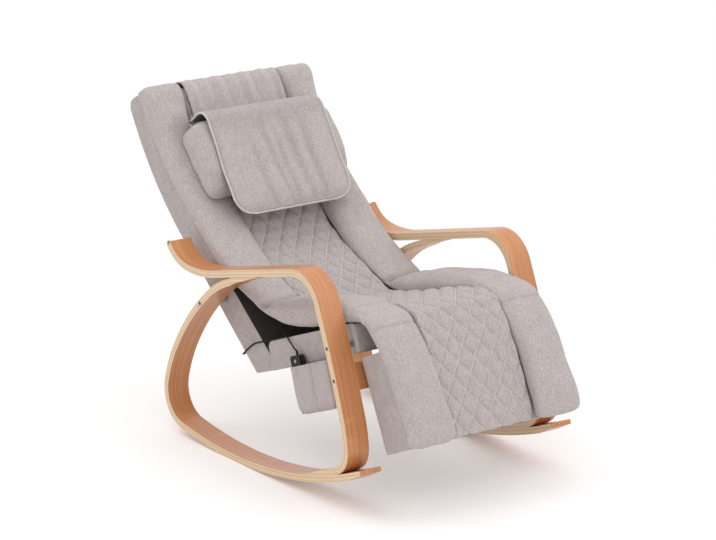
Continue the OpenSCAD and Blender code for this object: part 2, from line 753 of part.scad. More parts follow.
hinge_out = 19.3;
hinge_v_share = 0.458;
leg_lean = 25.4;
hinge_over = 42.5;
hinge_p = seat_pt(seat_len + hinge_out, hinge_v_share * box_t);
hinge_b = leg_wall + leg_ply + fit_gap + knuckle_d / 2;
leg_dir = -[sin(leg_lean), cos(leg_lean)];
leg_o = hinge_p + leg_dir * hinge_over + left(leg_dir) * hinge_b;
function leg_pt(a, b) = leg_o + leg_dir * a - left(leg_dir) * b;
leg_full = 103;
leg_top_share = 0.016;
leg_front_shares = [[leg_top_share, 0.83], [0.16, 0.915], [0.32, 0.96], [0.52, 0.98], [0.85, 1], [1, 1]];
function front_b(a) = leg_full * lookup(a / leg_len, leg_front_shares);
leg_edge_r = 8;

// Outline of what fills the tray between b0 and its front face less g, inset by in at both ends
function leg_fill(in, b0, g) = concat(
    [leg_pt(leg_top_share * leg_len + in, b0), leg_pt(leg_len - in, b0)],
    reverse([for (s = leg_front_shares)
        let (a = min(max(s[0] * leg_len, leg_top_share * leg_len + in), leg_len - in))
        leg_pt(a, front_b(a) - g)]));

module legrest_tray() {
    top = leg_top_share * leg_len;
    all = concat([leg_pt(leg_len / 2, 0), leg_pt(leg_len, 0)],
                 reverse([for (s = leg_front_shares) leg_pt(s[0] * leg_len, front_b(s[0] * leg_len))]),
                 [leg_pt(top, 0), leg_pt(leg_len / 2, 0)]);
    radii = [for (i = [0 : len(all) - 1]) i == 1 || i == len(all) - 2 ? leg_edge_r : 0];
    color(cloth) difference() {
        across(-leg_hw, leg_hw, round_line(all, radii));
        across(-leg_hw + leg_wall, leg_hw - leg_wall,
               [leg_pt(-leg_wall, leg_wall), leg_pt(leg_len - leg_wall, leg_wall),
                leg_pt(leg_len - leg_wall, 2 * leg_full), leg_pt(-leg_wall, 2 * leg_full)]);
    }
}

board_gap = 0.05;
module legrest_board() {
    in = leg_wall + fit_gap;
    b0 = leg_wall + board_gap;
    color(wood) across(-leg_hw + in, leg_hw - in,
        [leg_pt(leg_top_share * leg_len, b0), leg_pt(leg_len - in, b0),
         leg_pt(leg_len - in, b0 + leg_ply), leg_pt(leg_top_share * leg_len, b0 + leg_ply)]);
}

module legrest_foam() {
    in = leg_wall + fit_gap;
    color("ivory") across(-leg_hw + in, leg_hw - in,
        leg_fill(in, hinge_b - knuckle_d / 2 + leaf_t + fit_gap, fit_gap));
}

knuckle_gap = 0.3;
outer_knuckle = 12;
leaf_hw = knuckle_w / 2 + knuckle_gap + outer_knuckle;
leaf_up = 20;
arm_t = 6;
strap_len = 60;

// A cylinder along x about the hinge line, from x0 to x1
module on_hinge(x0, x1, r) {
    translate([x0, hinge_p[0], hinge_p[1]]) rotate([0, 90, 0]) cylinder(r = r, h = x1 - x0);
}

module seat_leaf() {
    v0 = hinge_v_share * box_t;
    x0 = hinge_x - leaf_hw;
    difference() {
        union() {
            at_seat() translate([x0, -seat_len - leaf_t, v0 - leaf_up])
                cube([2 * leaf_hw, leaf_t, 2 * leaf_up]);
            for (x = [x0, hinge_x + knuckle_w / 2 + knuckle_gap]) {
                at_seat() translate([x, -seat_len - hinge_out, v0 - arm_t / 2])
                    cube([outer_knuckle, hinge_out - leaf_t / 2, arm_t]);
                on_hinge(x, x + outer_knuckle, knuckle_d / 2);
            }
        }
        on_hinge(x0 - over, x0 + 2 * leaf_hw + over, hinge_pin_d / 2 + run_clear);
    }
}

module leg_leaf() {
    x0 = hinge_x - knuckle_w / 2;
    b0 = hinge_b - knuckle_d / 2;
    difference() {
        union() {
            across(x0, x0 + knuckle_w, [leg_pt(-hinge_over, b0), leg_pt(strap_len, b0),
                                        leg_pt(strap_len, b0 + leaf_t), leg_pt(-hinge_over, b0 + leaf_t)]);
            on_hinge(x0, x0 + knuckle_w, knuckle_d / 2);
        }
        on_hinge(x0 - over, x0 + knuckle_w + over, hinge_pin_d / 2 + run_clear);
    }
}

module hinge_seat_leaves() { color(steel) both_sides() seat_leaf(); }
module hinge_leg_leaves() { color(steel) both_sides() leg_leaf(); }
module hinge_pins() {
    color(steel) both_sides() on_hinge(hinge_x - leaf_hw, hinge_x + leaf_hw, hinge_pin_d / 2);
}

// Soft forms: rings across the chair, each between a lower point u and an upper point t
// of the side view, joined into one closed skin

// w moves the seam beside the middle out from seam_x
function pair(u, t, w = 0) = [u[0], u[1], t[0], t[1], w];
function low(p) = [p[0], p[1]];
function high(p) = [p[2], p[3]];
// A smooth curve through the list p, at its running number x
function through(p, x) =
    let (n = len(p) - 1, k = min(floor(x), n - 1), t = x - k,
         a = p[max(k - 1, 0)], b = p[k], c = p[k + 1], d = p[min(k + 2, n)])
    b + ((c - a) * t + (2 * a - 5 * b + 4 * c - d) * t * t + (3 * b - a - 3 * c + d) * t * t * t) / 2;
// Moves a pair along the curve, square to the line between its points
function slip(p, g) = let (m = left(unit(high(p) - low(p))) * g) p + [m[0], m[1], m[0], m[1], 0];
function signed_power(v, e) = sign(v) * pow(abs(v), e);

module skin(rings) {
    n = len(rings[0]);
    m = len(rings);
    ends = [for (r = [rings[0], rings[m - 1]]) [for (k = [0 : 2]) [for (p = r) p[k]] * same(r, 1) / n]];
    polyhedron(concat([for (r = rings) each r], ends), concat(
        [for (j = [0 : m - 2], i = [0 : n - 1]) let (a = j * n + i, b = j * n + (i + 1) % n)
            each ((i + j) % 2 == 0 ? [[a, b + n, b], [a, a + n, b + n]] : [[a, a + n, b], [b, a + n, b + n]])],
        [for (i = [0 : n - 1]) [n * m, i, (i + 1) % n]],
        [for (i = [0 : n - 1]) [n * m + 1, (m - 1) * n + (i + 1) % n, (m - 1) * n + i]]));
}

// One ring of a stuffed bolster between x0 and x1: flat below, crowned above
ring_points = 16;
crown_power = 0.8;
base_power = 0.35;
side_power = 0.72;
function bolster_ring(p, x0, x1, e) = [for (k = [0 : ring_points - 1])
    let (a = 360 * (k + 0.5) / ring_points,
         across_share = signed_power(cos(a), sin(a) > 0 ? side_power : base_power),
         up_share = (1 + e * signed_power(sin(a), sin(a) > 0 ? crown_power : base_power)) / 2,
         q = lerp(low(p), high(p), up_share))
    [(x0 + x1) / 2 + (x1 - x0) / 2 * e * across_share, q[0], q[1]]];

rows_per_step = 2;
// A bolster through the pairs, the first and last of them drawn in by the shares in ends
module bolster(pairs, ends = [1, 1]) {
    n = len(pairs) - 1;
    skin([for (k = [0 : rows_per_step * n]) let (x = k / rows_per_step,
              e = x < 1 ? lerp(ends[0], 1, sqrt(x)) : x > n - 1 ? lerp(ends[1], 1, sqrt(n - x)) : 1)
          bolster_ring(through(pairs, x), seam_x + through(pairs, x)[4] + seam_gap / 2, pad_hw, e)]);
}

// The quilted panel: rows half a diamond apart, its channels where the rows and columns meet
quilt_hw = seam_x - seam_gap / 2;
quilt_cols = 2 * floor(quilt_hw / diamond_w) + 1;
quilt_x = concat([-quilt_hw], [for (i = [-quilt_cols : quilt_cols])
    if (abs(i) * diamond_w / 2 < quilt_hw - channel_depth) i * diamond_w / 2], [quilt_hw]);
fine_steps = 8;
function quilt_rows(pairs) =
    let (xs = [for (k = [0 : fine_steps * (len(pairs) - 1)]) k / fine_steps],
         s = run([for (x = xs) high(through(pairs, x))]), total = s[len(s) - 1],
         n = max(2, round(total / (diamond_l / 2))))
    [for (j = [0 : n]) lookup(total * j / n, [for (i = [0 : len(s) - 1]) [s[i], xs[i]]])];
function quilt_ring(p, row, e) =
    let (n = len(quilt_x), t = unit(high(p) - low(p)), mid = (low(p) + high(p)) / 2,
         wide = 1 + p[4] / quilt_hw)
    concat([for (x = quilt_x) let (q = lerp(mid, low(p), e)) [x * wide, q[0], q[1]]],
           [for (i = [n - 1 : -1 : 0])
            let (sunk = i == 0 || i == n - 1 ? 1 : (i + row) % 2,
                 q = lerp(mid, high(p), e) - t * channel_depth * (sunk - 0.5) * e)
            [quilt_x[i] * wide, q[0], q[1]]]);
module quilt(pairs, ends = [1, 1]) {
    rows = quilt_rows(pairs);
    last = len(rows) - 1;
    skin([for (j = [0 : last])
          quilt_ring(through(pairs, rows[j]), j, j == 0 ? ends[0] : j == last ? ends[1] : 1)]);
}

// Places in the side view, from shares: along the back or the seat, then above its face in pads
function over_back(s) = back_pt(s[0] * back_len, back_t(s[0] * back_len) + soft_gap + s[1] * pad_t);
function over_seat(s) = seat_pt(s[0] * seat_len, box_t + soft_gap + s[1] * pad_t);
function over_leg(s) = leg_pt(s[0] * leg_len, front_b(s[0] * leg_len) + soft_gap + s[1] * pad_t);
function round_knee(a, r) = hinge_p + dir(a) * r * box_t;

// Bolsters: [place below, height below, place above, height above, seam moved out from seam_x]
back_shares = [
    [1.008, 0.14, 1.008, 0.6, 0.2], [1, 0.02, 1, 0.84, 0.2], [0.975, 0, 0.975, 1.0, 0.2],
    [0.92, 0, 0.92, 1.03, 0.2], [0.87, 0, 0.87, 0.96, 0.2], [0.815, 0, 0.815, 0.8, 0.18],
    [0.74, 0, 0.74, 0.79, 0.13], [0.63, 0, 0.63, 0.77, 0.04], [0.51, 0, 0.51, 0.73, 0],
    [0.43, 0.005, 0.43, 0.71, 0], [0.35, 0.025, 0.35, 0.72, 0], [0.29, 0.14, 0.29, 0.81, 0],
    [0.235, 0.32, 0.235, 0.9, 0], [0.17, 0.66, 0.17, 1.04, 0]];
crease_share = [0.0125, 1.21, 0.0775, 1.34];
seat_shares = [
    [0.1275, 0.82, 0.2, 1.34], [0.26, 0.47, 0.3125, 1.28], [0.445, 0.25, 0.475, 1.245],
    [0.65, 0.15, 0.6625, 1.05], [0.825, 0.095, 0.8375, 0.866], [0.93, 0.07, 0.9425, 0.71]];
knee_a = [85, 111, 137];
knee_low_shares = [0.53, 0.55, 0.61];
knee_high_shares = [0.88, 0.89, 1.04];
leg_shares = [
    [0.016, 0, 0, 0.6], [0.16, 0, 0.14, 0.605], [0.32, 0, 0.3, 0.635], [0.52, 0, 0.5, 0.68],
    [0.85, 0, 0.84, 0.69], [0.98, 0.01, 0.99, 0.55], [1.025, 0.08, 1.045, 0.35]];
head_draw = 0.55;
toe_draw = 0.7;

function pairs_on_back(t) = [for (s = t)
    pair(over_back([s[0], s[1]]), over_back([s[2], s[3]]), s[4] * seam_x)];
function pairs_on_seat(t) = [for (s = t) pair(over_seat([s[0], s[1]]), over_seat([s[2], s[3]]))];
function pairs_on_leg(t) = [for (s = t) pair(over_leg([s[0], s[1]]), over_leg([s[2], s[3]]))];
function knee_pair(k, l, h) = pair(round_knee(knee_a[k], l), round_knee(knee_a[k], h));
function knee_pairs(l, h) = [for (k = [0 : 2]) knee_pair(k, l[k], h[k])];

crease = pairs_on_seat([crease_share])[0];
knee = knee_pairs(knee_low_shares, knee_high_shares);
half_seam = seam_gap / 2;

module back_bolster() {
    color(cloth) bolster(concat(pairs_on_back(back_shares), [slip(crease, -half_seam)]), [head_draw, 1]);
}
module seat_bolster() {
    color(cloth) bolster(concat([slip(crease, half_seam)], pairs_on_seat(seat_shares),
                                [slip(knee[0], -half_seam)]));
}
module knee_bolster() {
    bolster([slip(knee[0], half_seam), knee[1], slip(knee[2], -half_seam)]);
}
module leg_bolster() {
    color(cloth) bolster(concat([slip(knee[2], half_seam)], pairs_on_leg(leg_shares)), [1, toe_draw]);
}

module back_bolster_right() { back_bolster(); }
module back_bolster_left() { mirror([1, 0, 0]) back_bolster(); }
module seat_bolster_right() { seat_bolster(); }
module seat_bolster_left() { mirror([1, 0, 0]) seat_bolster(); }
module leg_bolster_right() { leg_bolster(); }
module leg_bolster_left() { mirror([1, 0, 0]) leg_bolster(); }

// The quilted panel in the middle, lower than the bolsters
quilt_back_shares = [
    [0.99, 0.12, 0.99, 0.45, 0.2], [0.97, 0.01, 0.97, 0.72, 0.2], [0.9, 0, 0.9, 0.765, 0.2],
    [0.76, 0, 0.76, 0.695, 0.14], [0.63, 0, 0.63, 0.64, 0.04], [0.5, 0, 0.5, 0.36, 0],
    [0.415, 0.01, 0.415, 0.23, 0], [0.35, 0.03, 0.35, 0.3, 0], [0.29, 0.2, 0.29, 0.47, 0],
    [0.235, 0.4, 0.235, 0.67, 0], [0.18, 0.64, 0.18, 0.86, 0]];
quilt_crease_share = [0.075, 0.82, 0.1, 1.02];
quilt_seat_shares = [
    [0.26, 0.47, 0.2625, 0.82], [0.535, 0.22, 0.535, 0.65], [0.755, 0.12, 0.755, 0.565],
    [0.915, 0.07, 0.915, 0.48]];
quilt_knee_shares = [0.86, 0.88, 1.01];
quilt_leg_shares = [
    [0.016, 0.01, 0, 0.37], [0.16, 0.01, 0.15, 0.29], [0.32, 0.01, 0.31, 0.265], [0.52, 0.01, 0.51, 0.245],
    [0.85, 0.01, 0.85, 0.18], [1.01, 0.02, 1.015, 0.1]];
quilt_crease = pairs_on_seat([quilt_crease_share])[0];
quilt_knee = knee_pairs(knee_low_shares, quilt_knee_shares);

back_quilt_pairs = concat(pairs_on_back(quilt_back_shares), [slip(quilt_crease, -half_seam)]);
seat_quilt_pairs = concat([slip(quilt_crease, half_seam)], pairs_on_seat(quilt_seat_shares),
                          [slip(quilt_knee[0], -half_seam)]);
module back_quilt() { color(cloth) quilt(back_quilt_pairs, [head_draw, 1]); }
module seat_quilt() { color(cloth) quilt(seat_quilt_pairs); }
module leg_quilt() {
    color(cloth) quilt(concat([slip(quilt_knee[2], half_seam)], pairs_on_leg(quilt_leg_shares)));
}
module knee_folds() {
    color(cloth) {
        both_sides() knee_bolster();
        quilt([slip(quilt_knee[0], half_seam), quilt_knee[1], slip(quilt_knee[2], -half_seam)]);
    }
}

// Foam core that holds the quilt up where the back meets the seat
core_gap = 0.8;
core_hw = 122;
core_steps = 4;
core_seat_span = 2;
core_back_first = 7;
core_s_share = 0.3;
core_f_share = 0.55;
module lumbar_core() {
    seat_u = [for (k = [1 : core_steps * core_seat_span])
              low(through(seat_quilt_pairs, k / core_steps)) + left(seat_dir) * core_gap];
    back_u = [for (k = [core_steps * core_back_first : core_steps * (len(back_quilt_pairs) - 1)])
              low(through(back_quilt_pairs, k / core_steps)) - left(dir(back_a0)) * core_gap];
    color("ivory") across(-core_hw, core_hw, concat(
        [seat_pt(core_f_share * seat_len, box_t)], reverse(seat_u), reverse(back_u),
        [for (s = [core_s_share, 0]) back_pt(s * back_len, back_t(s * back_len) + board_gap)],
        [seat_pt(0, box_t + board_gap)]));
}

// The head: a cloth laid over the top, a pillow, and the flap that hangs over the pillow

cloth_cols = 12;
wave = 1.2;
function cloth_ring(p, hw, row, e) =
    let (t = unit(high(p) - low(p)))
    concat([for (i = [0 : cloth_cols]) [lerp(-hw, hw, i / cloth_cols) * e, p[0], p[1]]],
           [for (i = [cloth_cols : -1 : 0])
            let (q = high(p) + t * wave * (1 + sin(150 * i + 25 * row)) / 2)
            [lerp(-hw, hw, i / cloth_cols) * e, q[0], q[1]]]);
module cloth_sheet(pairs, hw, step, tip = 1) {
    n = len(pairs) - 1;
    skin([for (k = [0 : step * n]) let (x = k / step)
          cloth_ring(through(pairs, x), hw, k, x > n - 1 ? lerp(1, tip, pow(x - n + 1, 2)) : 1)]);
}

// [share of the back's length, height off the rear face in back thicknesses at the head]
cloth_line_shares = [
    [0.9, -0.02], [0.96, -0.02], [0.99, 0.02], [1.004, 0.32], [1.006, 0.9], [1.004, 1.4],
    [0.995, 1.68], [0.97, 1.84], [0.93, 1.875], [0.85, 1.84], [0.8, 1.822], [0.75, 1.815], [0.66, 1.815]];
function cloth_place(s, g) =
    let (p = [for (q = cloth_line_shares) back_pt(q[0] * back_len, q[1] * back_t_head)],
         h = heading(p, s)) p[s] - left(h) * g;
head_seam_share = 0.2;
cloth_hw = seam_x * (1 + head_seam_share) - cloth_in;
module head_cloth() {
    n = len(cloth_line_shares) - 1;
    color("silver") cloth_sheet([for (i = [0 : n]) pair(cloth_place(i, 0), cloth_place(i, cloth_t))],
                                cloth_hw, 1);
}

// Corners of the pillow's end, along the back and off its rear face
pillow_s0_share = 0.52;
pillow_s1_share = 0.823;
pillow_d0 = 132;
pillow_s0 = pillow_s0_share * back_len;
pillow_s1 = pillow_s1_share * back_len;
pillow_shares = [[0.5, 0], [1, 0], [1, 0.97], [0.84, 1.06], [0.558, 1.02], [0.235, 0.8], [0.02, 0.48],
                 [0, 0], [0.5, 0]];
pillow_r = [0, 28, 34, 90, 260, 260, 30, 16, 0];
soft_sag = 0.6;
function on_pillow(c) = [lerp(pillow_s0, pillow_s1, c[0]), pillow_d0 + c[1] * pillow_t];
pillow_flat = round_line([for (c = pillow_shares) on_pillow(c)], pillow_r, soft_sag);
pillow_mid = on_pillow([0.5, 0.45]);
pillow_end_shares = [[-1, 0.84], [-0.985, 0.91], [-0.95, 0.97], [-0.88, 1], [0.88, 1], [0.95, 0.97],
                     [0.985, 0.91], [1, 0.84]];
module pillow() {
    color(cloth) skin([for (r = pillow_end_shares) [for (i = [0 : len(pillow_flat) - 2])
        let (q = lerp(pillow_mid, pillow_flat[i], r[1]), w = back_pt(q[0], q[1]))
        [r[0] * pillow_hw, w[0], w[1]]]]);
}

flap_shares = [[1.055, 0.22], [1.09, 1.19], [0.85, 1.11], [0.558, 1.03], [0.235, 0.815], [-0.035, 0.69],
               [-0.18, 0.56], [-0.288, 0.44]];
flap_r = [0, 36, 90, 260, 260, 200, 100, 0];
flap_flat = round_line([for (c = flap_shares) on_pillow(c)], flap_r, soft_sag);
function flap_line(g) = [for (q = beside(flap_flat, same(flap_flat, -g))) back_pt(q[0], q[1])];
flap_tip_share = 0.8;
module pillow_flap() {
    u = flap_line(soft_gap);
    t = flap_line(soft_gap + flap_t - wave);
    color(cloth) cloth_sheet([for (i = [0 : len(u) - 1]) pair(u[i], t[i])], flap_hw, 1, flap_tip_share);
}

flap_root = on_pillow(flap_shares[0]);
cord_ends = [back_pt(pillow_s1, flap_root[1]), back_pt(flap_root[0], flap_root[1])];
cord_r = norm(cord_ends[1] - cord_ends[0]) / 2 - soft_gap;
cord_p = (cord_ends[0] + cord_ends[1]) / 2;
module flap_cord() {
    color(cloth) translate([-flap_hw, cord_p[0], cord_p[1]])
        rotate([0, 90, 0]) cylinder(r = cord_r, h = 2 * flap_hw);
}

// The pocket on the left side of the seat box, and the handset in it

pocket_f0 = 118;
pocket_r = 14;
tab_h = 16;
tab_in = 12;
pocket_x0 = box_hw + fit_gap;
pocket_x1 = pocket_x0 + 2 * pocket_t + pocket_gap;

// A plate in the seat's own axes on the left side, from x0 to x1 off the middle
module side_plate(x0, x1, f0, f1, v0, v1, r) {
    mirror([1, 0, 0]) at_seat() translate([x0, 0, 0]) rotate([90, 0, 90]) linear_extrude(x1 - x0)
        polygon(rounded_rect(-f1, -f0, v0, v1, r));
}

module pocket() {
    f1 = pocket_f0 + pocket_w;
    low_r = [pocket_r, 0, 0, pocket_r];
    color(cloth) difference() {
        union() {
            side_plate(pocket_x0, pocket_x1, pocket_f0, f1, -pocket_h, 0, low_r);
            side_plate(pocket_x0, pocket_x0 + pocket_t, pocket_f0 + tab_in, f1 - tab_in,
                       -pocket_r, tab_h, [0, 0, 0, 0]);
        }
        side_plate(pocket_x0 + pocket_t, pocket_x1 - pocket_t, pocket_f0 + pocket_t, f1 - pocket_t,
                   pocket_t - pocket_h, over, low_r);
    }
}

handset_in = 5;
handset_edge = 5;
handset_f0 = pocket_f0 + pocket_t + handset_edge;
handset_v0 = pocket_t - pocket_h + fit_gap;
handset_x0 = pocket_x0 + pocket_t + handset_in;
cover_t = 5;
handset_r = 8;
handset_mid_f = handset_f0 + handset_w / 2;
button_gap = 0.2;
button_shares = [0.9, 0.76, 0.62, 0.48];
hs_r = [handset_r, handset_r, handset_r, handset_r];
module handset_body() {
    color(black) side_plate(handset_x0, handset_x0 + handset_t - cover_t, handset_f0,
                            handset_f0 + handset_w, handset_v0, handset_v0 + handset_l, hs_r);
}

// A round plug in the handset's face, from x0 to x1 off the middle
module on_cover(share, x0, x1, r) {
    mirror([1, 0, 0]) at_seat() translate([x0, -handset_mid_f, handset_v0 + share * handset_l])
        rotate([0, 90, 0]) cylinder(r = r, h = x1 - x0);
}

module handset_cover() {
    x0 = handset_x0 + handset_t - cover_t;
    color("black") difference() {
        side_plate(x0, x0 + cover_t, handset_f0, handset_f0 + handset_w,
                   handset_v0, handset_v0 + handset_l, hs_r);
        for (s = button_shares) on_cover(s, x0 - over, x0 + cover_t + over, button_d / 2 + button_gap);
    }
}

module button(i) {
    x1 = handset_x0 + handset_t;
    color("white") on_cover(button_shares[i], x1 - cover_t + button_travel + button_gap,
                            x1 + button_travel, button_d / 2);
}
module button_power() { button(0); }
module button_mode() { button(1); }
module button_heat() { button(2); }
module button_speed() { button(3); }

// The lead from the top of the handset, along the box and round to the grommet
lead_x = -(handset_x0 + (handset_t - cover_t) / 2);
lead_0 = seat_pt(handset_mid_f, handset_v0 + handset_l);
lead_up = -left(seat_dir);
grommet_s = grommet_s_share * back_len;
function lead_end(d) = [grommet_x, back_pt(grommet_s, d)[0], back_pt(grommet_s, d)[1]];
lead_route = concat(
    [for (k = [0, 5, 10]) [lead_x, lead_0[0] + lead_up[0] * k, lead_0[1] + lead_up[1] * k]],
    [[-268, -178, 339], [-265, -159, 348], [-261, -141, 355], [-257, -128, 358], [-253, -117, 354],
     [-251, -102, 345.5], [-251, -80, 336.5], [-251, -57.5, 328], [-252.5, -35, 319.5],
     [-254.8, -11, 310.5], [-254.8, 14.5, 300.5], [-254.8, 34.5, 288.5], [-254.8, 51, 275],
     [-254.8, 61, 267], [-254, 70, 259], [-250, 78, 254.5], [-242, 83.5, 253], [-232, 86.5, 254],
     [-222, 87, 256.5], [-215.5, 85.5, 259]],
    [for (d = [-12, -6, 0, 4]) lead_end(d)]);
lead_sides = 8;
lead_rows = 2;
lead_ref = unit([0.5, 0.8, 0.33]);
module handset_lead() {
    n = len(lead_route) - 1;
    rings = [for (k = [0 : lead_rows * n])
        let (x = k / lead_rows, h = 0.05,
             t = unit(through(lead_route, min(x + h, n)) - through(lead_route, max(x - h, 0))),
             a = unit(cross(t, lead_ref)), b = cross(t, a), p = through(lead_route, x))
        [for (i = [0 : lead_sides - 1]) p + (a * cos(360 * i / lead_sides) + b * sin(360 * i / lead_sides)) * lead_d / 2]];
    color(black) skin(rings);
}

// What is drawn
arm_leg_left();
arm_leg_right();
rocker_left();
rocker_right();
front_cross_rail();
frame_bolts();
spacer_sleeves();
edge_plugs();
seat_box();
seat_frame();
seat_webbing();
seat_foam();
control_box();
back_shell();
back_frame();
support_mesh();
heating_pad();
carriage_rails();
lift_screw();
travel_motor();
carriage();
kneading_motor();
massage_arm_left();
massage_arm_right();
roller_left_lower();
roller_left_upper();
roller_right_lower();
roller_right_upper();
power_inlet();
lead_grommet();
lumbar_core();
legrest_tray();
legrest_board();
legrest_foam();
hinge_seat_leaves();
hinge_leg_leaves();
hinge_pins();
back_bolster_left();
back_bolster_right();
back_quilt();
seat_bolster_left();
seat_bolster_right();
seat_quilt();
knee_folds();
leg_bolster_left();
leg_bolster_right();
leg_quilt();
head_cloth();
pillow();
pillow_flap();
flap_cord();
pocket();
handset_body();
handset_cover();
button_power();
button_mode();
button_heat();
button_speed();
handset_lead();
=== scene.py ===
import math

import bmesh
import bpy
import numpy as np
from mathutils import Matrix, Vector


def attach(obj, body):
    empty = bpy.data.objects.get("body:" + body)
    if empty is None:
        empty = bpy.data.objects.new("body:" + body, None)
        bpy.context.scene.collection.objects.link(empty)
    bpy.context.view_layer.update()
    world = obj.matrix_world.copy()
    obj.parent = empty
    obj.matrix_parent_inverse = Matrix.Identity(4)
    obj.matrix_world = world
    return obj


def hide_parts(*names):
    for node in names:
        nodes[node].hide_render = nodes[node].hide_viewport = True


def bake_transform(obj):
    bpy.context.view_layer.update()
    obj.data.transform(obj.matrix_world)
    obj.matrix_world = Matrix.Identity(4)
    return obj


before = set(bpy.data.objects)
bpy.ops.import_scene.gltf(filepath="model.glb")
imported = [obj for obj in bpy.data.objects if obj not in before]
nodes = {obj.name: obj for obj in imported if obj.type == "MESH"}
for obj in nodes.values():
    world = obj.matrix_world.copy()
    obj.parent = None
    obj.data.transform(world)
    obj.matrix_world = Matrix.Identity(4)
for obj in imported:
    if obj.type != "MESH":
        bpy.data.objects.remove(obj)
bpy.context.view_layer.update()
scene = bpy.context.scene
scene.view_settings.view_transform = "Standard"

# Camera: a long lens a little above the seat, in front of the chair and to its left,
# at the azimuth and height at which the photograph was taken.
view_azimuth, view_elevation = math.radians(-36.352), math.radians(16.084)
toward_camera = Vector((math.sin(view_azimuth) * math.cos(view_elevation),
                        -math.cos(view_azimuth) * math.cos(view_elevation), math.sin(view_elevation)))
camera = bpy.data.objects.new("camera", bpy.data.cameras.new("camera"))
scene.collection.objects.link(camera)
camera.location = (-4.651, -6.406, 2.740)
camera.rotation_euler = (-toward_camera).to_track_quat("-Z", "Y").to_euler()
camera.data.sensor_width = 36
camera.data.lens = 158.65
camera.data.clip_start, camera.data.clip_end = 0.1, 60
scene.camera = camera

# Handset lead: a 4 mm lead in a black, rubber-like PVC sheath, from the top of the handset, laid
# along the seat box and round to the grommet in the back. Both its ends go into the object.
lead_points = np.array([
    [-268.8, -194.0, 325.3], [-268.8, -192.2, 330.0], [-268.8, -190.4, 334.6], [-268, -178, 339],
    [-265, -159, 348], [-261, -141, 355], [-257, -128, 358], [-253, -117, 354], [-251, -102, 345.5],
    [-251, -80, 336.5], [-251, -57.5, 328], [-252.5, -35, 319.5], [-254.8, -11, 310.5],
    [-254.8, 14.5, 300.5], [-254.8, 34.5, 288.5], [-254.8, 51, 275], [-254.8, 61, 267],
    [-254, 70, 259], [-250, 78, 254.5], [-242, 83.5, 253], [-232, 86.5, 254], [-222, 87, 256.5],
    [-215.5, 85.5, 259], [-212, 82.2, 263.3], [-212, 78.4, 267.9], [-212, 74.5, 272.5],
    [-212, 71.9, 275.6]]) / 1000
lead_d = 0.004


def through(points, x):
    """Points of the smooth line through the given rows, at the places x counted in rows."""
    x = np.atleast_1d(np.asarray(x, float))
    last = len(points) - 1
    i = np.minimum(np.floor(x).astype(int), last - 1)
    t = (x - i)[:, None]
    a, b = points[np.maximum(i - 1, 0)], points[i]
    c, d = points[i + 1], points[np.minimum(i + 2, last)]
    return b + 0.5 * t * (c - a + t * (2 * a - 5 * b + 4 * c - d + t * (3 * (b - c) + d - a)))


def length_along(points):
    """Distance run along a line at each of its points."""
    return np.concatenate([[0], np.cumsum(np.linalg.norm(np.diff(points, axis=0), axis=1))])


def new_mesh(name, points, faces, uv=None):
    """A mesh object from points and faces, which it turns outwards, with a UV pair for each face corner."""
    flat = np.asarray(points, float)
    volume = 0.0
    for f in faces:
        for k in range(1, len(f) - 1):
            volume += np.dot(flat[f[0]], np.cross(flat[f[k]], flat[f[k + 1]]))
    if volume < 0:
        faces = [f[::-1] for f in faces]
        uv = None if uv is None else [c[::-1] for c in uv]
    mesh = bpy.data.meshes.new(name)
    mesh.from_pydata(flat.tolist(), [], faces)
    if uv is not None:
        layer = mesh.uv_layers.new(name="cut")
        layer.data.foreach_set("uv", np.array([p for c in uv for p in c], np.float32).ravel())
    mesh.polygons.foreach_set("use_smooth", [True] * len(mesh.polygons))
    mesh.update()
    made = bpy.data.objects.new(name, mesh)
    scene.collection.objects.link(made)
    return made


def loft(name, rings, cap_steps):
    """A closed form through rings of points, both ends closed by rings that shrink to their middles."""
    rings = np.asarray(rings, float)
    if cap_steps:
        shares = np.linspace(1, 0.03, cap_steps + 1)[1:]
        start = [rings[0].mean(0) + (rings[0] - rings[0].mean(0)) * s for s in shares[::-1]]
        end = [rings[-1].mean(0) + (rings[-1] - rings[-1].mean(0)) * s for s in shares]
        rings = np.concatenate([start, rings, end])
    count, width = rings.shape[:2]
    wrapped = np.concatenate([rings, rings[:, :1]], axis=1)
    u = np.concatenate([np.zeros((count, 1)),
                        np.cumsum(np.linalg.norm(np.diff(wrapped, axis=1), axis=2), axis=1)], axis=1)
    v = length_along(rings.mean(axis=1))
    faces, uv = [], []
    for i in range(count - 1):
        for j in range(width):
            k = (j + 1) % width
            faces.append((i * width + j, i * width + k, (i + 1) * width + k, (i + 1) * width + j))
            uv.append(((u[i, j], v[i]), (u[i, j + 1], v[i]), (u[i + 1, j + 1], v[i + 1]),
                       (u[i + 1, j], v[i + 1])))
    for i, turn in ((0, -1), (count - 1, 1)):
        faces.append(tuple(range(i * width, (i + 1) * width))[::turn])
        uv.append(tuple((u[i, j], v[i]) for j in range(width))[::turn])
    return new_mesh(name, rings.reshape(-1, 3), faces, uv)


def tube_rings(line, radius, sides):
    """Rings of a round cord along a line, carried on without twist. The radius may change along it."""
    line = np.asarray(line, float)
    radius = np.broadcast_to(radius, len(line))
    ahead = np.gradient(line, axis=0)
    ahead /= np.linalg.norm(ahead, axis=1)[:, None]
    side = np.cross(ahead[0], (0.5, 0.8, 0.33))
    rings = []
    for p, t, r in zip(line, ahead, radius):
        side = side - t * side.dot(t)
        side /= np.linalg.norm(side)
        up = np.cross(t, side)
        a = 2 * np.pi * np.arange(sides) / sides
        rings.append(p + r * (np.cos(a)[:, None] * side + np.sin(a)[:, None] * up))
    return np.array(rings)


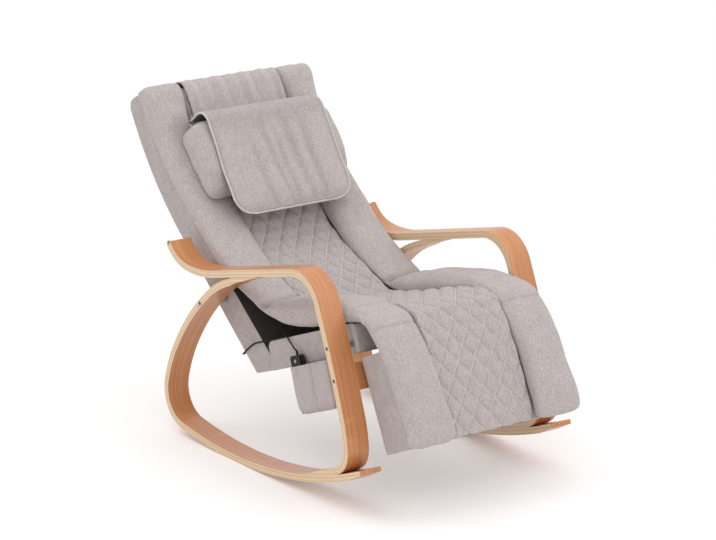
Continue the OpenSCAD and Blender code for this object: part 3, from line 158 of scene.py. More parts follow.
def linear(hexa):
    """Linear colour of an sRGB hex value."""
    values = [int(hexa[i:i + 2], 16) / 255 for i in (0, 2, 4)]
    return tuple(c / 12.92 if c <= 0.04045 else ((c + 0.055) / 1.055) ** 2.4 for c in values) + (1,)


used_output = {"ShaderNodeMix": 2, "ShaderNodeAttribute": 2, "ShaderNodeTexCoord": 3, "ShaderNodeTexWave": 1,
               "ShaderNodeVectorMath": 1, "ShaderNodeNewGeometry": 1}


def outlet(source):
    """Where a link starts: the given socket, or the output that a node is used for, as a mix's colour."""
    if isinstance(source, bpy.types.NodeSocket):
        return source
    return source.outputs[used_output.get(source.bl_idname, 0)]


def add(owner, kind, sockets=None, **settings):
    """Adds one shader node to a material or the world, with its settings, and its sockets set or linked.
    A mix is always one of colours."""
    made = owner.node_tree.nodes.new("ShaderNode" + kind)
    if kind == "Mix":
        made.data_type = "RGBA"
    for key, value in settings.items():
        setattr(made, key, value)
    for key, value in (sockets or {}).items():
        if isinstance(value, (bpy.types.Node, bpy.types.NodeSocket)):
            owner.node_tree.links.new(outlet(value), made.inputs[key])
        else:
            made.inputs[key].default_value = value
    return made


def feed(shader, **sources):
    """Links a node into each named socket of a shader."""
    for name, source in sources.items():
        shader.id_data.links.new(outlet(source), shader.inputs[name.replace("_", " ")])


def finish_of(name, **surface):
    """A new material with its one shader, and that shader, with plain values on its own sockets."""
    material = bpy.data.materials.new(name)
    material.use_nodes = True
    material.node_tree.nodes.clear()
    shader = add(material, "BsdfPrincipled", {k.replace("_", " "): v for k, v in surface.items()})
    add(material, "OutputMaterial", {"Surface": shader})
    return material, shader


def coat(o, material):
    """Gives a piece or a CAD node its one material."""
    o.data.materials.clear()
    o.data.materials.append(material)


# Extruded PVC lead: dull black, with the faint grain that its die leaves.
lead_rubber, shader = finish_of("extruded_pvc", Base_Color=linear("0E0D0E"), Roughness=0.6, IOR=1.5,
                                Specular_IOR_Level=0.25)
grain = add(lead_rubber, "TexNoise", {"Vector": add(lead_rubber, "TexCoord"), "Scale": 900, "Detail": 2})
feed(shader, Normal=add(lead_rubber, "Bump", {"Height": grain, "Strength": 0.15, "Distance": 0.0003}))

lead_line = through(lead_points, np.linspace(0, len(lead_points) - 1, 6 * len(lead_points)))
lead = loft("lead", tube_rings(lead_line, lead_d / 2, 12), 1)
coat(lead, lead_rubber)
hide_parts("handset_lead")

# Strain relief: a short tapered sleeve of the same PVC, moulded onto the lead where it leaves the
# handset.
relief_line = through(lead_points, np.linspace(0.15, 2.6, 14))
relief = loft("lead_relief", tube_rings(relief_line, np.linspace(0.0034, 0.0023, 14), 16), 1)
coat(relief, lead_rubber)
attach(relief, "handset")

# Side frames: each side is two strips of beech veneer, glued in a bent press: the arm with the
# front leg, and the loop with the runner. The broad faces show long grain under satin lacquer,
# the cut edges show the veneers as pale and darker lines.
runner_r = 1.430
bed_r = 1.4107


def turn_at(p, i):
    """The angle by which a line turns at its row i."""
    a, b = p[i] - p[i - 1], p[i + 1] - p[i]
    return math.atan2(a[0] * b[1] - a[1] * b[0], a.dot(b))


def rounded(corners, radii, sag=0.00012):
    """The line through the corners in the side view, with a fillet of the given radius at each."""
    p = np.array(corners, float)
    reach = [0] + [radii[i] * math.tan(abs(turn_at(p, i)) / 2) for i in range(1, len(p) - 1)] + [0]
    out = [p[0]]
    for i in range(1, len(p) - 1):
        a = turn_at(p, i)
        if radii[i] <= 0 or abs(a) < 0.0035:
            out.append(p[i])
            continue
        before, after = np.linalg.norm(p[i] - p[i - 1]), np.linalg.norm(p[i + 1] - p[i])
        t = reach[i] * min(1, 0.98 * before / (reach[i - 1] + reach[i]),
                           0.98 * after / (reach[i] + reach[i + 1]))
        r = t / math.tan(abs(a) / 2)
        d = (p[i] - p[i - 1]) / before
        side = 1 if a > 0 else -1
        start = p[i] - d * t
        centre = start + np.array([-d[1], d[0]]) * r * side
        steps = max(3, math.ceil(abs(a) / (2 * math.acos(1 - min(0.5, sag / r)))))
        for k in range(steps + 1):
            h = math.atan2(d[1], d[0]) + a * k / steps
            out.append(centre + np.array([math.sin(h), -math.cos(h)]) * r * side)
    return np.array(out + [p[-1]])


def on_circle(r, a):
    """The point at a degrees round the runner's centre, at the radius r."""
    return [r * math.sin(math.radians(a)), runner_r - r * math.cos(math.radians(a))]


def beside_line(line, points):
    """For points of the side view: the run along the line to the nearest place, and how far to its left."""
    a, b = line[:-1], line[1:]
    d = b - a
    size = np.linalg.norm(d, axis=1)
    t = np.clip(((points[:, None] - a) * d).sum(2) / size ** 2, 0, 1)
    near = a + t[..., None] * d
    k = np.linalg.norm(points[:, None] - near, axis=2).argmin(1)
    rows = np.arange(len(points))
    off = points - near[rows, k]
    run = length_along(line)[k] + t[rows, k] * size[k]
    return run, (d[k, 0] * off[:, 1] - d[k, 1] * off[:, 0]) / size[k]


def points_of(o):
    """The points of a piece's mesh, one row each."""
    place = np.zeros(len(o.data.vertices) * 3)
    o.data.vertices.foreach_get("co", place)
    return place.reshape(-1, 3)


def put_points(o, place):
    """Moves the points of a piece's mesh to the given rows."""
    o.data.vertices.foreach_set("co", np.asarray(place, float).ravel())
    o.data.update()


def note_points(o, name, values):
    """Keeps one number for each point of a piece, for its material to read."""
    noted = o.data.attributes.new(name, "FLOAT", "POINT")
    noted.data.foreach_set("value", np.asarray(values, np.float32).ravel())


def plain_mesh(o):
    """Applies all modifiers of a piece and takes them off."""
    o.data = bpy.data.meshes.new_from_object(o.evaluated_get(bpy.context.evaluated_depsgraph_get()))
    o.modifiers.clear()


def corner_points(mesh):
    """The number of the point at each face corner of a mesh."""
    corner = np.zeros(len(mesh.loops), int)
    mesh.loops.foreach_get("vertex_index", corner)
    return corner


def merged_copy(node, name):
    """A copy of a CAD node's mesh with its doubles merged, as a piece that stands for that node."""
    mesh = nodes[node].data.copy()
    form = bmesh.new()
    form.from_mesh(mesh)
    bmesh.ops.remove_doubles(form, verts=form.verts, dist=1e-6)
    form.to_mesh(mesh)
    form.free()
    made = bpy.data.objects.new(name, mesh)
    scene.collection.objects.link(made)
    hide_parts(node)
    return made


arm_line = np.concatenate([
    rounded([[0.2876, 0.5268], [0.2594, 0.4890], [0.1525, 0.4770], [-0.3427, 0.5977], [-0.4372, 0.3835],
             [-0.4959, 0.2089], [-0.5060, 0.1119], [-0.4520, 0.0937]],
            [0, 0.109, 0.33, 0.11, 3.185, 0.373, 0.07, 0]),
    [on_circle(bed_r, a) for a in np.linspace(-18.69, -12.6, 7)[1:]]])
loop_line = np.concatenate([
    rounded([[-0.1141, 0.5221], [0.0035, 0.4935], [0.0787, 0.4621], [0.2109, 0.3548], [0.3065, 0.2016],
             [0.3514, 0.0392], [0.2400, 0.0203]], [0, 0.25, 0.346, 0.736, 0.424, 0.1, 0]),
    [on_circle(runner_r, a) for a in np.linspace(9.66, -22.89, 30)[1:]]])

# Beech veneer, peeled and cut: pink-tan with darker growth streaks 3 to 8 mm wide and short flecks
# 2 mm long; its edge shows plies, drawn 2.7 mm thick, with thin glue lines; satin lacquer over both.
beech, shader = finish_of("bent_beech_ply", Roughness=0.38, IOR=1.5, Coat_Weight=0.25, Coat_Roughness=0.3)
cut = add(beech, "UVMap", uv_map="cut")
grain_map = add(beech, "Mapping", {"Vector": cut, "Scale": (3.2, 190, 1)})
streak = add(beech, "TexNoise", {"Vector": grain_map, "Scale": 1, "Detail": 5, "Roughness": 0.55,
                                 "Distortion": 0.5})
figure_map = add(beech, "Mapping", {"Vector": cut, "Scale": (1.1, 26, 1)})
figure = add(beech, "TexNoise", {"Vector": figure_map, "Scale": 1, "Detail": 3, "Distortion": 1.1})
fleck_map = add(beech, "Mapping", {"Vector": cut, "Scale": (320, 1500, 1)})
fleck = add(beech, "TexNoise", {"Vector": fleck_map, "Scale": 1, "Detail": 1})
band = add(beech, "MapRange", {"Value": streak, "From Min": 0.34, "From Max": 0.66})
broad = add(beech, "Mix", {0: band, 6: linear("B4713F"), 7: linear("DD9C69")})
wide = add(beech, "MapRange", {"Value": figure, "From Min": 0.3, "From Max": 0.7, "To Max": 0.8})
broad = add(beech, "Mix", {0: wide, 6: broad, 7: linear("C68452")})
fleck_dark = add(beech, "MapRange", {"Value": fleck, "From Min": 0.62, "From Max": 0.75, "To Max": 0.45})
broad = add(beech, "Mix", {0: fleck_dark, 6: broad, 7: linear("8C5430")})
layer = add(beech, "Attribute", attribute_name="layer")
ply = add(beech, "Math", {0: layer, 1: 1 / 0.0027}, operation="MULTIPLY")
ply_place = add(beech, "Math", {0: ply}, operation="FRACT")
ply_number = add(beech, "Math", {0: ply}, operation="FLOOR")
ply_tone = add(beech, "TexWhiteNoise", {"W": ply_number}, noise_dimensions="1D")
glue = add(beech, "MapRange", {"Value": ply_place, "From Min": 0.72, "From Max": 0.86})
edge_noise = add(beech, "TexNoise", {"Vector": grain_map, "Scale": 3, "Detail": 2})
edge = add(beech, "Mix", {0: ply_tone, 6: linear("DBBB93"), 7: linear("EFD9B7")})
edge = add(beech, "Mix", {0: glue, 6: edge, 7: linear("A67A50")})
speck = add(beech, "MapRange", {"Value": edge_noise, "From Min": 0.5, "From Max": 0.8, "To Max": 0.35})
edge = add(beech, "Mix", {0: speck, 6: edge, 7: linear("C9A27A")})
is_edge = add(beech, "Attribute", attribute_name="is_edge")
wood_tone = add(beech, "Mix", {0: is_edge, 6: broad, 7: edge})
bump = add(beech, "Bump", {"Height": streak, "Strength": 0.12, "Distance": 0.0004})
feed(shader, Base_Color=wood_tone, Normal=bump)

for node, name, line in (("arm_leg_left", "bent_arm_left", arm_line),
                         ("arm_leg_right", "bent_arm_right", arm_line),
                         ("rocker_left", "bent_runner_left", loop_line),
                         ("rocker_right", "bent_runner_right", loop_line)):
    strip = merged_copy(node, name)
    bevel = strip.modifiers.new("arris", "BEVEL")
    bevel.width, bevel.segments, bevel.limit_method, bevel.angle_limit = 0.0013, 2, "ANGLE", math.radians(50)
    plain_mesh(strip)
    mesh, place = strip.data, points_of(strip)
    along, off = beside_line(line, place[:, 1:])
    note_points(strip, "layer", np.abs(off))
    flat_side = mesh.attributes.new("is_edge", "FLOAT", "FACE")
    flat_side.data.foreach_set("value", [1.0 if abs(f.normal.x) > 0.5 else 0.0 for f in mesh.polygons])
    corner = corner_points(mesh)
    on_flat = np.repeat([abs(f.normal.x) > 0.5 for f in mesh.polygons],
                        [len(f.vertices) for f in mesh.polygons])
    across = np.where(on_flat, off[corner] + 0.3, place[corner, 0])
    while mesh.uv_layers:
        mesh.uv_layers.remove(mesh.uv_layers[0])
    mesh.uv_layers.new(name="cut").data.foreach_set(
        "uv", np.stack([along[corner], across], 1).astype(np.float32).ravel())
    coat(strip, beech)
    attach(strip, "chair")

# Front cross rail: a solid beech rail between the front legs, held by one bolt at each end. Sawn and
# planed, so its grain shows as narrow pink-brown streaks along it.


def two_toned(name, dark, light, pattern, kind="TexNoise", stretch=None, relief=None, **surface):
    """A finish of two tones, mixed by one pattern on the piece's own coordinates, stretched if given.
    The relief is the strength and the depth of a bump by the same pattern."""
    material, shader = finish_of(name, **surface)
    place = add(material, "TexCoord")
    if stretch:
        place = add(material, "Mapping", {"Vector": place, "Scale": stretch})
    marks = add(material, kind, {"Vector": place, **pattern})
    feed(shader, Base_Color=add(material, "Mix", {0: marks, 6: linear(dark), 7: linear(light)}))
    if relief:
        feed(shader, Normal=add(material, "Bump", {"Height": marks, "Strength": relief[0],
                                                   "Distance": relief[1]}))
    return material


beech_rail = two_toned("sawn_beech", "9C6236", "CC8C58", {"Scale": 1, "Detail": 5, "Distortion": 0.6},
                       stretch=(3, 150, 150), relief=(0.12, 0.0004), Roughness=0.42, IOR=1.5, Coat_Weight=0.2,
                       Coat_Roughness=0.3)
coat(nodes["front_cross_rail"], beech_rail)

# Bolts, sleeves and plugs: black oxide socket bolts sunk in the edges, zinc plated steel sleeves
# between the frames and the seat, and turned walnut-stained plugs at the tails of the arms. The
# bolt heads are worn bright to a grey brown.
black_steel, shader = finish_of("black_oxide_steel", Base_Color=linear("2A2A2B"), Metallic=1, Roughness=0.42)
spots = add(black_steel, "TexNoise", {"Vector": add(black_steel, "TexCoord"), "Scale": 700, "Detail": 3})
feed(shader, Normal=add(black_steel, "Bump", {"Height": spots, "Strength": 0.2, "Distance": 0.0002}))
worn_steel = two_toned("burnished_steel", "4C443F", "8B8078", {"Scale": 500, "Detail": 3}, Metallic=0.7,
                       Roughness=0.5)
zinc = two_toned("zinc_plated_steel", "A9ACAE", "C9CBCB", {"Scale": 260, "Detail": 4}, Metallic=1,
                 Roughness=0.36)
stained = two_toned("stained_plug", "7A4F30", "9C6A44", {"Scale": 500, "Detail": 3}, Roughness=0.5)
for node, material in (("frame_bolts", worn_steel), ("spacer_sleeves", zinc), ("edge_plugs", stained),
                       ("hinge_seat_leaves", zinc), ("hinge_leg_leaves", zinc), ("hinge_pins", black_steel)):
    coat(nodes[node], material)

# Plywood inside: the seat frame, the back frame and the board of the leg rest, raw and sanded.
plywood = two_toned("raw_plywood", "B9935F", "DDBD8B", {"Scale": 1, "Detail": 4}, stretch=(6, 60, 60),
                    Roughness=0.7)
for node in ("seat_frame", "back_frame", "legrest_board"):
    coat(nodes[node], plywood)

# Foam blocks inside: the seat's block and the lumbar filling are wrapped in black non-woven
# lining, which shows in the gap above the seat box, and the leg rest's block in the grey cloth.
lining = two_toned("black_lining", "211F1F", "433F3E", {"Scale": 600, "Detail": 3}, Roughness=0.95,
                   Specular_IOR_Level=0.1)
for node in ("seat_foam", "lumbar_core"):
    coat(nodes[node], lining)

# Webbing, support mesh and heating pad inside the seat and the back: black elastic webs, a black
# open net over the massage window, and a brown etched film.
webbing = two_toned("elastic_webbing", "161617", "303032", {"Scale": 130, "Distortion": 0.4}, "TexWave",
                    Roughness=0.85, Specular_IOR_Level=0.25)
film = two_toned("heating_film", "8C4A22", "C77B3C", {"Scale": 22, "Distortion": 1.5}, "TexWave",
                 Roughness=0.5)
coat(nodes["seat_webbing"], webbing)
coat(nodes["support_mesh"], webbing)
coat(nodes["heating_pad"], film)

# Massage unit: steel rails and lifting screw, a moulded black carriage with its two arms, grey
# polyurethane rollers, and motors and control box in black ABS housings.
abs_black = two_toned("moulded_abs_black", "121112", "1F1D1E", {"Scale": 420, "Detail": 4},
                      relief=(0.25, 0.0003), Roughness=0.45, IOR=1.53)
roller_pu = two_toned("cast_polyurethane", "83858A", "9B9DA2", {"Scale": 90, "Detail": 3}, Roughness=0.4,
                      IOR=1.5)
for node in ("carriage", "travel_motor", "kneading_motor", "control_box", "massage_arm_left",
             "massage_arm_right", "power_inlet", "lead_grommet"):
    coat(nodes[node], abs_black)
for node in ("carriage_rails", "lift_screw"):
    coat(nodes[node], zinc)
for side in ("left", "right"):
    for place in ("lower", "upper"):
        coat(nodes[f"roller_{side}_{place}"], roller_pu)

# Covered shells: the seat box, the back and the tray of the leg rest are thin moulded shells with
# the chair's grey cloth drawn over them and stapled inside.
# The cloth is a heathered plain weave of light grey and warm grey yarns, matt, with a short nap.
# Its yarns are under a millimetre, too fine to show here, so they are drawn 2.2 mm apart.
yarn = 0.0022


def heathered(name, dark, light, map_name=None):
    """Woven cloth in two greys. Its yarns follow the named UV map, or the piece's own coordinates."""
    material, shader = finish_of(name, Roughness=0.92, Specular_IOR_Level=0.2, Sheen_Weight=0.22,
                                 Sheen_Roughness=0.5, Sheen_Tint=linear("F4F0EC"))
    place = add(material, "TexCoord")
    cut = add(material, "UVMap", uv_map=map_name) if map_name else place
    speck = add(material, "TexNoise", {"Vector": place, "Scale": 0.8 / yarn, "Detail": 2.5, "Roughness": 0.7})
    cloud = add(material, "TexNoise", {"Vector": place, "Scale": 34, "Detail": 3})
    warp = add(material, "TexWave", {"Vector": cut, "Scale": 0.314 / yarn, "Distortion": 2.2, "Detail": 2,
                                     "Detail Scale": 1.5}, bands_direction="X")
    weft = add(material, "TexWave", {"Vector": cut, "Scale": 0.314 / yarn, "Distortion": 2.2, "Detail": 2,
                                     "Detail Scale": 1.5}, bands_direction="Y" if map_name else "Z")
    weave = add(material, "Math", {0: warp, 1: weft}, operation="MULTIPLY")
    blend = add(material, "MapRange", {"Value": speck, "From Min": 0.36, "From Max": 0.64})
    tone = add(material, "Mix", {0: blend, 6: linear(dark), 7: linear(light)})
    wide = add(material, "MapRange", {"Value": cloud, "From Min": 0.3, "From Max": 0.7, "To Min": 0.96,
                                      "To Max": 1.04})
    tone = add(material, "Mix", {0: 1.0, 6: tone, 7: wide}, blend_type="MULTIPLY")
    slub_map = add(material, "Mapping", {"Vector": cut, "Scale": (280, 40, 280 if map_name else 40)})
    slub = add(material, "TexNoise", {"Vector": slub_map, "Scale": 1, "Detail": 2})
    streaks = add(material, "MapRange", {"Value": slub, "From Min": 0.3, "From Max": 0.7, "To Min": 0.93,
                                         "To Max": 1.06})
    tone = add(material, "Mix", {0: 1.0, 6: tone, 7: streaks}, blend_type="MULTIPLY")
    height = add(material, "Math", {0: weave, 1: speck}, operation="ADD")
    bump = add(material, "Bump", {"Height": height, "Strength": 0.45, "Distance": 0.0009})
    feed(shader, Base_Color=tone, Normal=bump)
    return material, shader, tone, bump


shell_cloth = heathered("heathered_cloth_on_shell", "A19897", "C1B8B6")[0]
coat(nodes["legrest_foam"], shell_cloth)
# The back shell's cloth is dark where its face looks forward and up, on the front face under the pad: a dark
# lining there, and painted shade for the deep gap between the pad and the shell.
back_cloth_lining_and_shade, shader, tone = heathered("heathered_cloth_lining_and_painted_shade", "A19897", "C1B8B6")[:3]
facing = add(back_cloth_lining_and_shade, "VectorMath", {0: add(back_cloth_lining_and_shade, "NewGeometry"), 1: (0, -0.643, 0.766)},
             operation="DOT_PRODUCT")
front = add(back_cloth_lining_and_shade, "MapRange", {"Value": facing, "From Min": 0.75, "From Max": 0.9})
tone = add(back_cloth_lining_and_shade, "Mix", {0: front, 6: tone, 7: linear("3E3A39")})
feed(shader, Base_Color=tone)


def soft_sided(node, name, depth, width, material, body):
    """Stands for a covered shell, its two side faces rounded off to their outline as stretched cloth is."""
    shell = merged_copy(node, name)
    form = bmesh.new()
    form.from_mesh(shell.data)
    reach = max(abs(v.co.x) for v in form.verts)
    for sign in (-1, 1):
        sides = [f for f in form.faces
                 if f.normal.x * sign > 0.99 and sign * f.calc_center_median().x > reach - 2e-4]
        region = set(sides)
        rim = {e for e in form.edges if sum(f in region for f in e.link_faces) == 1}
        loops = []
        while rim:
            edge = rim.pop()
            loop = list(edge.verts)
            while edge:
                edge = next((e for e in loop[-1].link_edges if e in rim), None)
                if edge:
                    rim.discard(edge)
                    loop.append(edge.other_vert(loop[-1]))
            loops.append(loop[:-1] if loop[0] == loop[-1] else loop)
        loop = max(loops, key=lambda vs: max(v.co.y for v in vs) - min(v.co.y for v in vs))
        bmesh.ops.delete(form, geom=sides, context="FACES")
        p = np.array([v.co[1:] for v in loop])
        ahead = np.roll(p, -1, 0) - np.roll(p, 1, 0)
        turning = np.sign((p[:, 0] * np.roll(p[:, 1], -1) - np.roll(p[:, 0], -1) * p[:, 1]).sum())
        inward = np.stack([-ahead[:, 1], ahead[:, 0]], 1) * turning / np.linalg.norm(ahead, axis=1)[:, None]
        last = loop
        for v in loop:
            v.co.x = sign * (reach - depth)
        for a in np.radians((15, 30, 45, 60, 75, 90)):
            q = p + inward * width * (1 - math.cos(a))
            ring = [form.verts.new((sign * (reach - depth * (1 - math.sin(a))), *c)) for c in q]
            for i in range(len(ring)):
                form.faces.new((last[i - 1], last[i], ring[i], ring[i - 1]))
            last = ring
        open_rims = [e for e in form.edges if len(e.link_faces) == 1 and e.verts[0].co.x * sign > 0]
        bmesh.ops.triangle_fill(form, edges=open_rims, use_beauty=True, normal=(sign, 0, 0))
    bmesh.ops.recalc_face_normals(form, faces=form.faces)
    form.to_mesh(shell.data)
    form.free()
    shell.data.polygons.foreach_set("use_smooth", [False] * len(shell.data.polygons))
    coat(shell, material)
    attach(shell, body)


soft_sided("seat_box", "seat_box_cover", 0.0037, 0.008, shell_cloth, "chair")
soft_sided("legrest_tray", "legrest_cover", 0.0028, 0.007, shell_cloth, "leg_rest")
coat(nodes["back_shell"], back_cloth_lining_and_shade)

# Bolsters: one long padded roll on each side, from the head to the toe of the leg rest, cut from
# the grey cloth and filled with fibre over foam. Sewn to the quilted panel along its inner edge.
# Rows, in mm in the side view: foot of the section (y, z), its crown (y, z), and how far the
# inner seam moves out. The crease is row 14, the knee rows 21 to 23.
bolster_rows = np.array([
    [543.8, 873.6, 515.8, 889.5, 26], [547.6, 863.5, 497.7, 891.9, 26], [537.7, 844.4, 476.9, 879.0, 26],
    [513.8, 804.8, 451.7, 841.4, 26], [492.0, 771.4, 435.6, 808.0, 26], [466.4, 735.9, 420.9, 768.5, 23.4],
    [428.9, 689.5, 386.1, 724.6, 16.9], [368.8, 626.2, 330.5, 664.1, 5.2], [296.1, 563.4, 263.3, 602.5, 0],
    [242.2, 520.6, 210.5, 558.4, 0], [187.6, 478.7, 156.3, 516.0, 0], [142.2, 452.6, 112.0, 488.5, 0],
    [97.1, 432.7, 71.0, 463.8, 0], [38.2, 416.0, 21.1, 436.4, 0], [-13.9, 399.5, -34.9, 417.4, 0],
    [-66.7, 390.5, -80.7, 434.9, 0], [-124.9, 386.6, -124.2, 447.1, 0], [-199.5, 398.8, -185.8, 468.1, 0],
    [-278.6, 421.6, -260.7, 482.2, 0], [-345.3, 443.1, -330.7, 495.2, 0], [-385.2, 456.5, -373.8, 500.1, 0],
    [-442.5, 470.1, -440.2, 496.6, 0], [-461.0, 469.0, -470.2, 493.2, 0], [-479.9, 461.6, -503.8, 483.9, 0],
    [-523.4, 415.3, -559.6, 436.9, 0], [-546.9, 386.2, -581.9, 408.4, 0], [-568.4, 351.8, -605.8, 375.2, 0],
    [-591.8, 307.1, -632.5, 332.0, 0], [-629.4, 232.9, -671.9, 255.9, 0], [-644.0, 203.6, -679.3, 217.6, 0],
    [-653.3, 195.5, -672.6, 199.0, 0]]) / 1000
seam_x, pad_hw, seam_gap = 0.130, 0.268, 0.0006
head_draw, toe_draw = 0.55, 0.7
ring_count, cap_rings, section_steps = 52, 3, 360


def even_places(rows, step):
    """Places along the rows, about step apart on the crown's line, with the distance run to each."""
    fine = np.linspace(0, len(rows) - 1, 40 * (len(rows) - 1) + 1)
    run = length_along(through(rows, fine)[:, 2:4])
    wanted = np.linspace(0, run[-1], int(round(run[-1] / step)) + 1)
    return np.interp(wanted, run, fine), wanted


def even_ring(points, count):
    """The closed ring of points, spaced evenly in the given number."""
    closed = np.concatenate([points, points[:1]])
    run = length_along(closed)
    wanted = np.linspace(0, run[-1], count + 1)[:-1]
    return np.stack([np.interp(wanted, run, closed[:, k]) for k in range(3)], 1)


def ripple(u, v, seed, wave):
    """Soft unevenness of stuffed cloth over the surface, about 1 high, of the given wavelength."""
    chance = np.random.RandomState(seed)
    total = 0
    for _ in range(8):
        a, k, p = chance.uniform(0, 2 * np.pi), chance.uniform(0.6, 1.5) / wave, chance.uniform(0, 2 * np.pi)
        total = total + np.sin(2 * np.pi * k * (u * np.cos(a) + v * np.sin(a)) + p)
    return total / 4


def moved_out(o, shift):
    """Moves each point of a piece along its normal by the shift, in metres."""
    normal = np.zeros(len(o.data.vertices) * 3)
    o.data.vertices.foreach_get("normal", normal)
    put_points(o, points_of(o) + normal.reshape(-1, 3) * np.reshape(shift, (-1, 1)))


def subdivided(o, levels):
    """Applies a subdivision surface to a piece."""
    smooth = o.modifiers.new("smooth", "SUBSURF")
    smooth.levels = smooth.render_levels = levels
    plain_mesh(o)


def stuffed(o, pressure, cap):
    """Fills a piece by cloth simulation, 20 frames, no point moving further than cap."""
    rest = points_of(o)
    cloth = o.modifiers.new("stuffing", "CLOTH")
    cloth.settings.use_pressure = True
    cloth.settings.uniform_pressure_force = pressure
    cloth.settings.effector_weights.gravity = 0
    cloth.settings.quality = 4
    cloth.point_cache.frame_start, cloth.point_cache.frame_end = 1, 20
    for frame_number in range(1, 21):
        scene.frame_set(frame_number)
    shift = points_of(o.evaluated_get(bpy.context.evaluated_depsgraph_get())) - rest
    o.modifiers.clear()
    scene.frame_set(1)
    size = np.linalg.norm(shift, axis=1)
    put_points(o, rest + shift * np.minimum(1, cap / np.maximum(size, 1e-9))[:, None])


# Cloth of the pads. On the bolsters it carries painted shade in the crease and along the knee seams.
pad_cloth, shader, tone = heathered("heathered_cloth", "A69D9C", "CBC2C0", "cut")[:3]
painted_crease_shade = add(pad_cloth, "Attribute", attribute_name="painted_crease_shade")
shade = add(pad_cloth, "MapRange", {"Value": painted_crease_shade, "To Min": 1.0, "To Max": 0.62})
tone = add(pad_cloth, "Mix", {0: 1.0, 6: tone, 7: shade}, blend_type="MULTIPLY")
feed(shader, Base_Color=tone)


def powered(value, p):
    """A signed power, which squares off or sharpens a round section."""
    return np.sign(value) * np.abs(value) ** p


def dip(run, at, width):
    """A smooth bump of 1 at a place along the run, of the given half width."""
    return np.exp(-((run - at) / width) ** 2)


# The crease's and the knee seams' rows, and the wrinkles beside the crease: how far off and how deep.
crease_row, knee_rows = 14, (20.6, 23.3)
wrinkles = ((0.05, 0.0018), (0.085, 0.0013), (-0.045, 0.0015), (-0.08, 0.001))
for side, name in ((1, "bolster_right"), (-1, "bolster_left")):
    places, run = even_places(bolster_rows, 0.008)
    last = len(bolster_rows) - 1
    row = through(bolster_rows, places)
    draw = np.where(places < 1, head_draw + (1 - head_draw) * np.sqrt(places),
                    np.where(places > last - 1, toe_draw + (1 - toe_draw) * np.sqrt(last - places), 1))
    a = 2 * np.pi * (np.arange(section_steps) + 0.5) / section_steps
    across = powered(np.cos(a), np.where(np.sin(a) > 0, 0.72, 0.35))
    up = powered(np.sin(a), np.where(np.sin(a) > 0, 0.8, 0.35))
    sections = []
    for r, e in zip(row, draw):
        x0, x1 = seam_x + r[4] + seam_gap / 2, pad_hw
        q = r[:2] + (r[2:4] - r[:2]) * ((1 + e * up) / 2)[:, None]
        x = (x0 + x1) / 2 + (x1 - x0) / 2 * e * across
        sections.append(even_ring(np.column_stack([side * x, q]), ring_count))
    bolster = loft(name, sections, cap_rings)
    moved_out(bolster, -0.0006)
    stuffed(bolster, 4, 0.004)
    run_all = np.concatenate([np.zeros(cap_rings), run, np.full(cap_rings, run[-1])])
    round_all = np.tile(np.arange(ring_count) / ring_count, len(run_all))
    run_all = np.repeat(run_all, ring_count)
    on_top = np.clip(np.sin(2 * np.pi * (round_all + 0.5 / section_steps)) * 3 + 0.4, 0, 1)
    shift = 0.0011 * ripple(run_all, 0.35 * round_all, 11 + side, 0.16)
    shift += 0.0006 * ripple(run_all, 0.35 * round_all, 21 + side, 0.055)
    crease_run, low_seam, high_seam = (np.interp(k, places, run) for k in (crease_row, *knee_rows))
    shift -= 0.013 * on_top * dip(run_all, crease_run, 0.013)
    for seam in (low_seam, high_seam):
        shift -= 0.0022 * on_top * dip(run_all, seam, 0.005)
    for k, (at, size) in enumerate(wrinkles):
        wander = 0.012 * np.sin(9 * round_all + k + side)
        shift -= size * on_top * dip(run_all, crease_run + at + wander, 0.007)
    shift += 0.004 * on_top * dip(run_all, 0.05, 0.035)
    shift -= 0.0014 * dip(np.minimum(round_all, 1 - round_all), 0, 0.014)
    moved_out(bolster, shift)
    # Painted shade: how much the cloth is darkened on top, in the crease and along the knee seams.
    note_points(bolster, "painted_crease_shade", on_top * (0.9 * dip(run_all, crease_run, 0.012)
                                             + 0.35 * dip(run_all, low_seam, 0.004)
                                             + 0.35 * dip(run_all, high_seam, 0.004)))
    subdivided(bolster, 1)
    coat(bolster, pad_cloth)
    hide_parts("back_" + name, "seat_" + name, "leg_" + name, "knee_folds")
    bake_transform(bolster)

# Quilted panel: the middle of the pad, head to toe, thin fibre sewn through the cloth in diamonds
# 54 mm wide and 72 mm long. Rows as the bolsters' rows; the crease is row 11, the knee 16 to 18.
quilt_rows = np.array([
    [537.1, 859.6, 517.0, 871.0, 26], [534.9, 841.1, 491.7, 865.6, 26], [505.2, 791.3, 459.6, 819.3, 26],
    [439.2, 701.6, 401.0, 731.8, 18.2], [368.8, 626.2, 337.0, 657.7, 5.2], [289.4, 558.0, 273.2, 577.3, 0],
    [231.9, 512.9, 222.0, 524.6, 0], [187.4, 479.0, 175.2, 493.5, 0], [139.5, 455.8, 127.3, 470.3, 0],
    [93.5, 437.0, 81.4, 451.5, 0], [45.8, 420.3, 35.9, 432.1, 0], [-47.0, 383.0, -51.4, 399.7, 0],
    [-124.9, 386.6, -117.1, 409.9, 0], [-233.9, 409.7, -223.1, 437.8, 0], [-318.6, 434.7, -307.4, 463.8, 0],
    [-379.6, 454.3, -369.3, 481.1, 0], [-442.5, 470.1, -440.3, 495.1, 0], [-461.0, 469.0, -470.0, 492.4, 0],
    [-479.9, 461.6, -502.1, 482.4, 0], [-524.0, 415.6, -545.1, 430.0, 0], [-547.5, 386.5, -563.6, 396.9, 0],
    [-569.0, 352.1, -583.8, 361.9, 0], [-592.5, 307.4, -606.1, 316.7, 0], [-630.0, 233.2, -640.7, 238.3, 0],
    [-647.9, 197.1, -653.5, 198.4, 0]]) / 1000
quilt_hw = seam_x - seam_gap / 2
diamond_w, diamond_l, channel = 0.054, 0.072, 0.0062
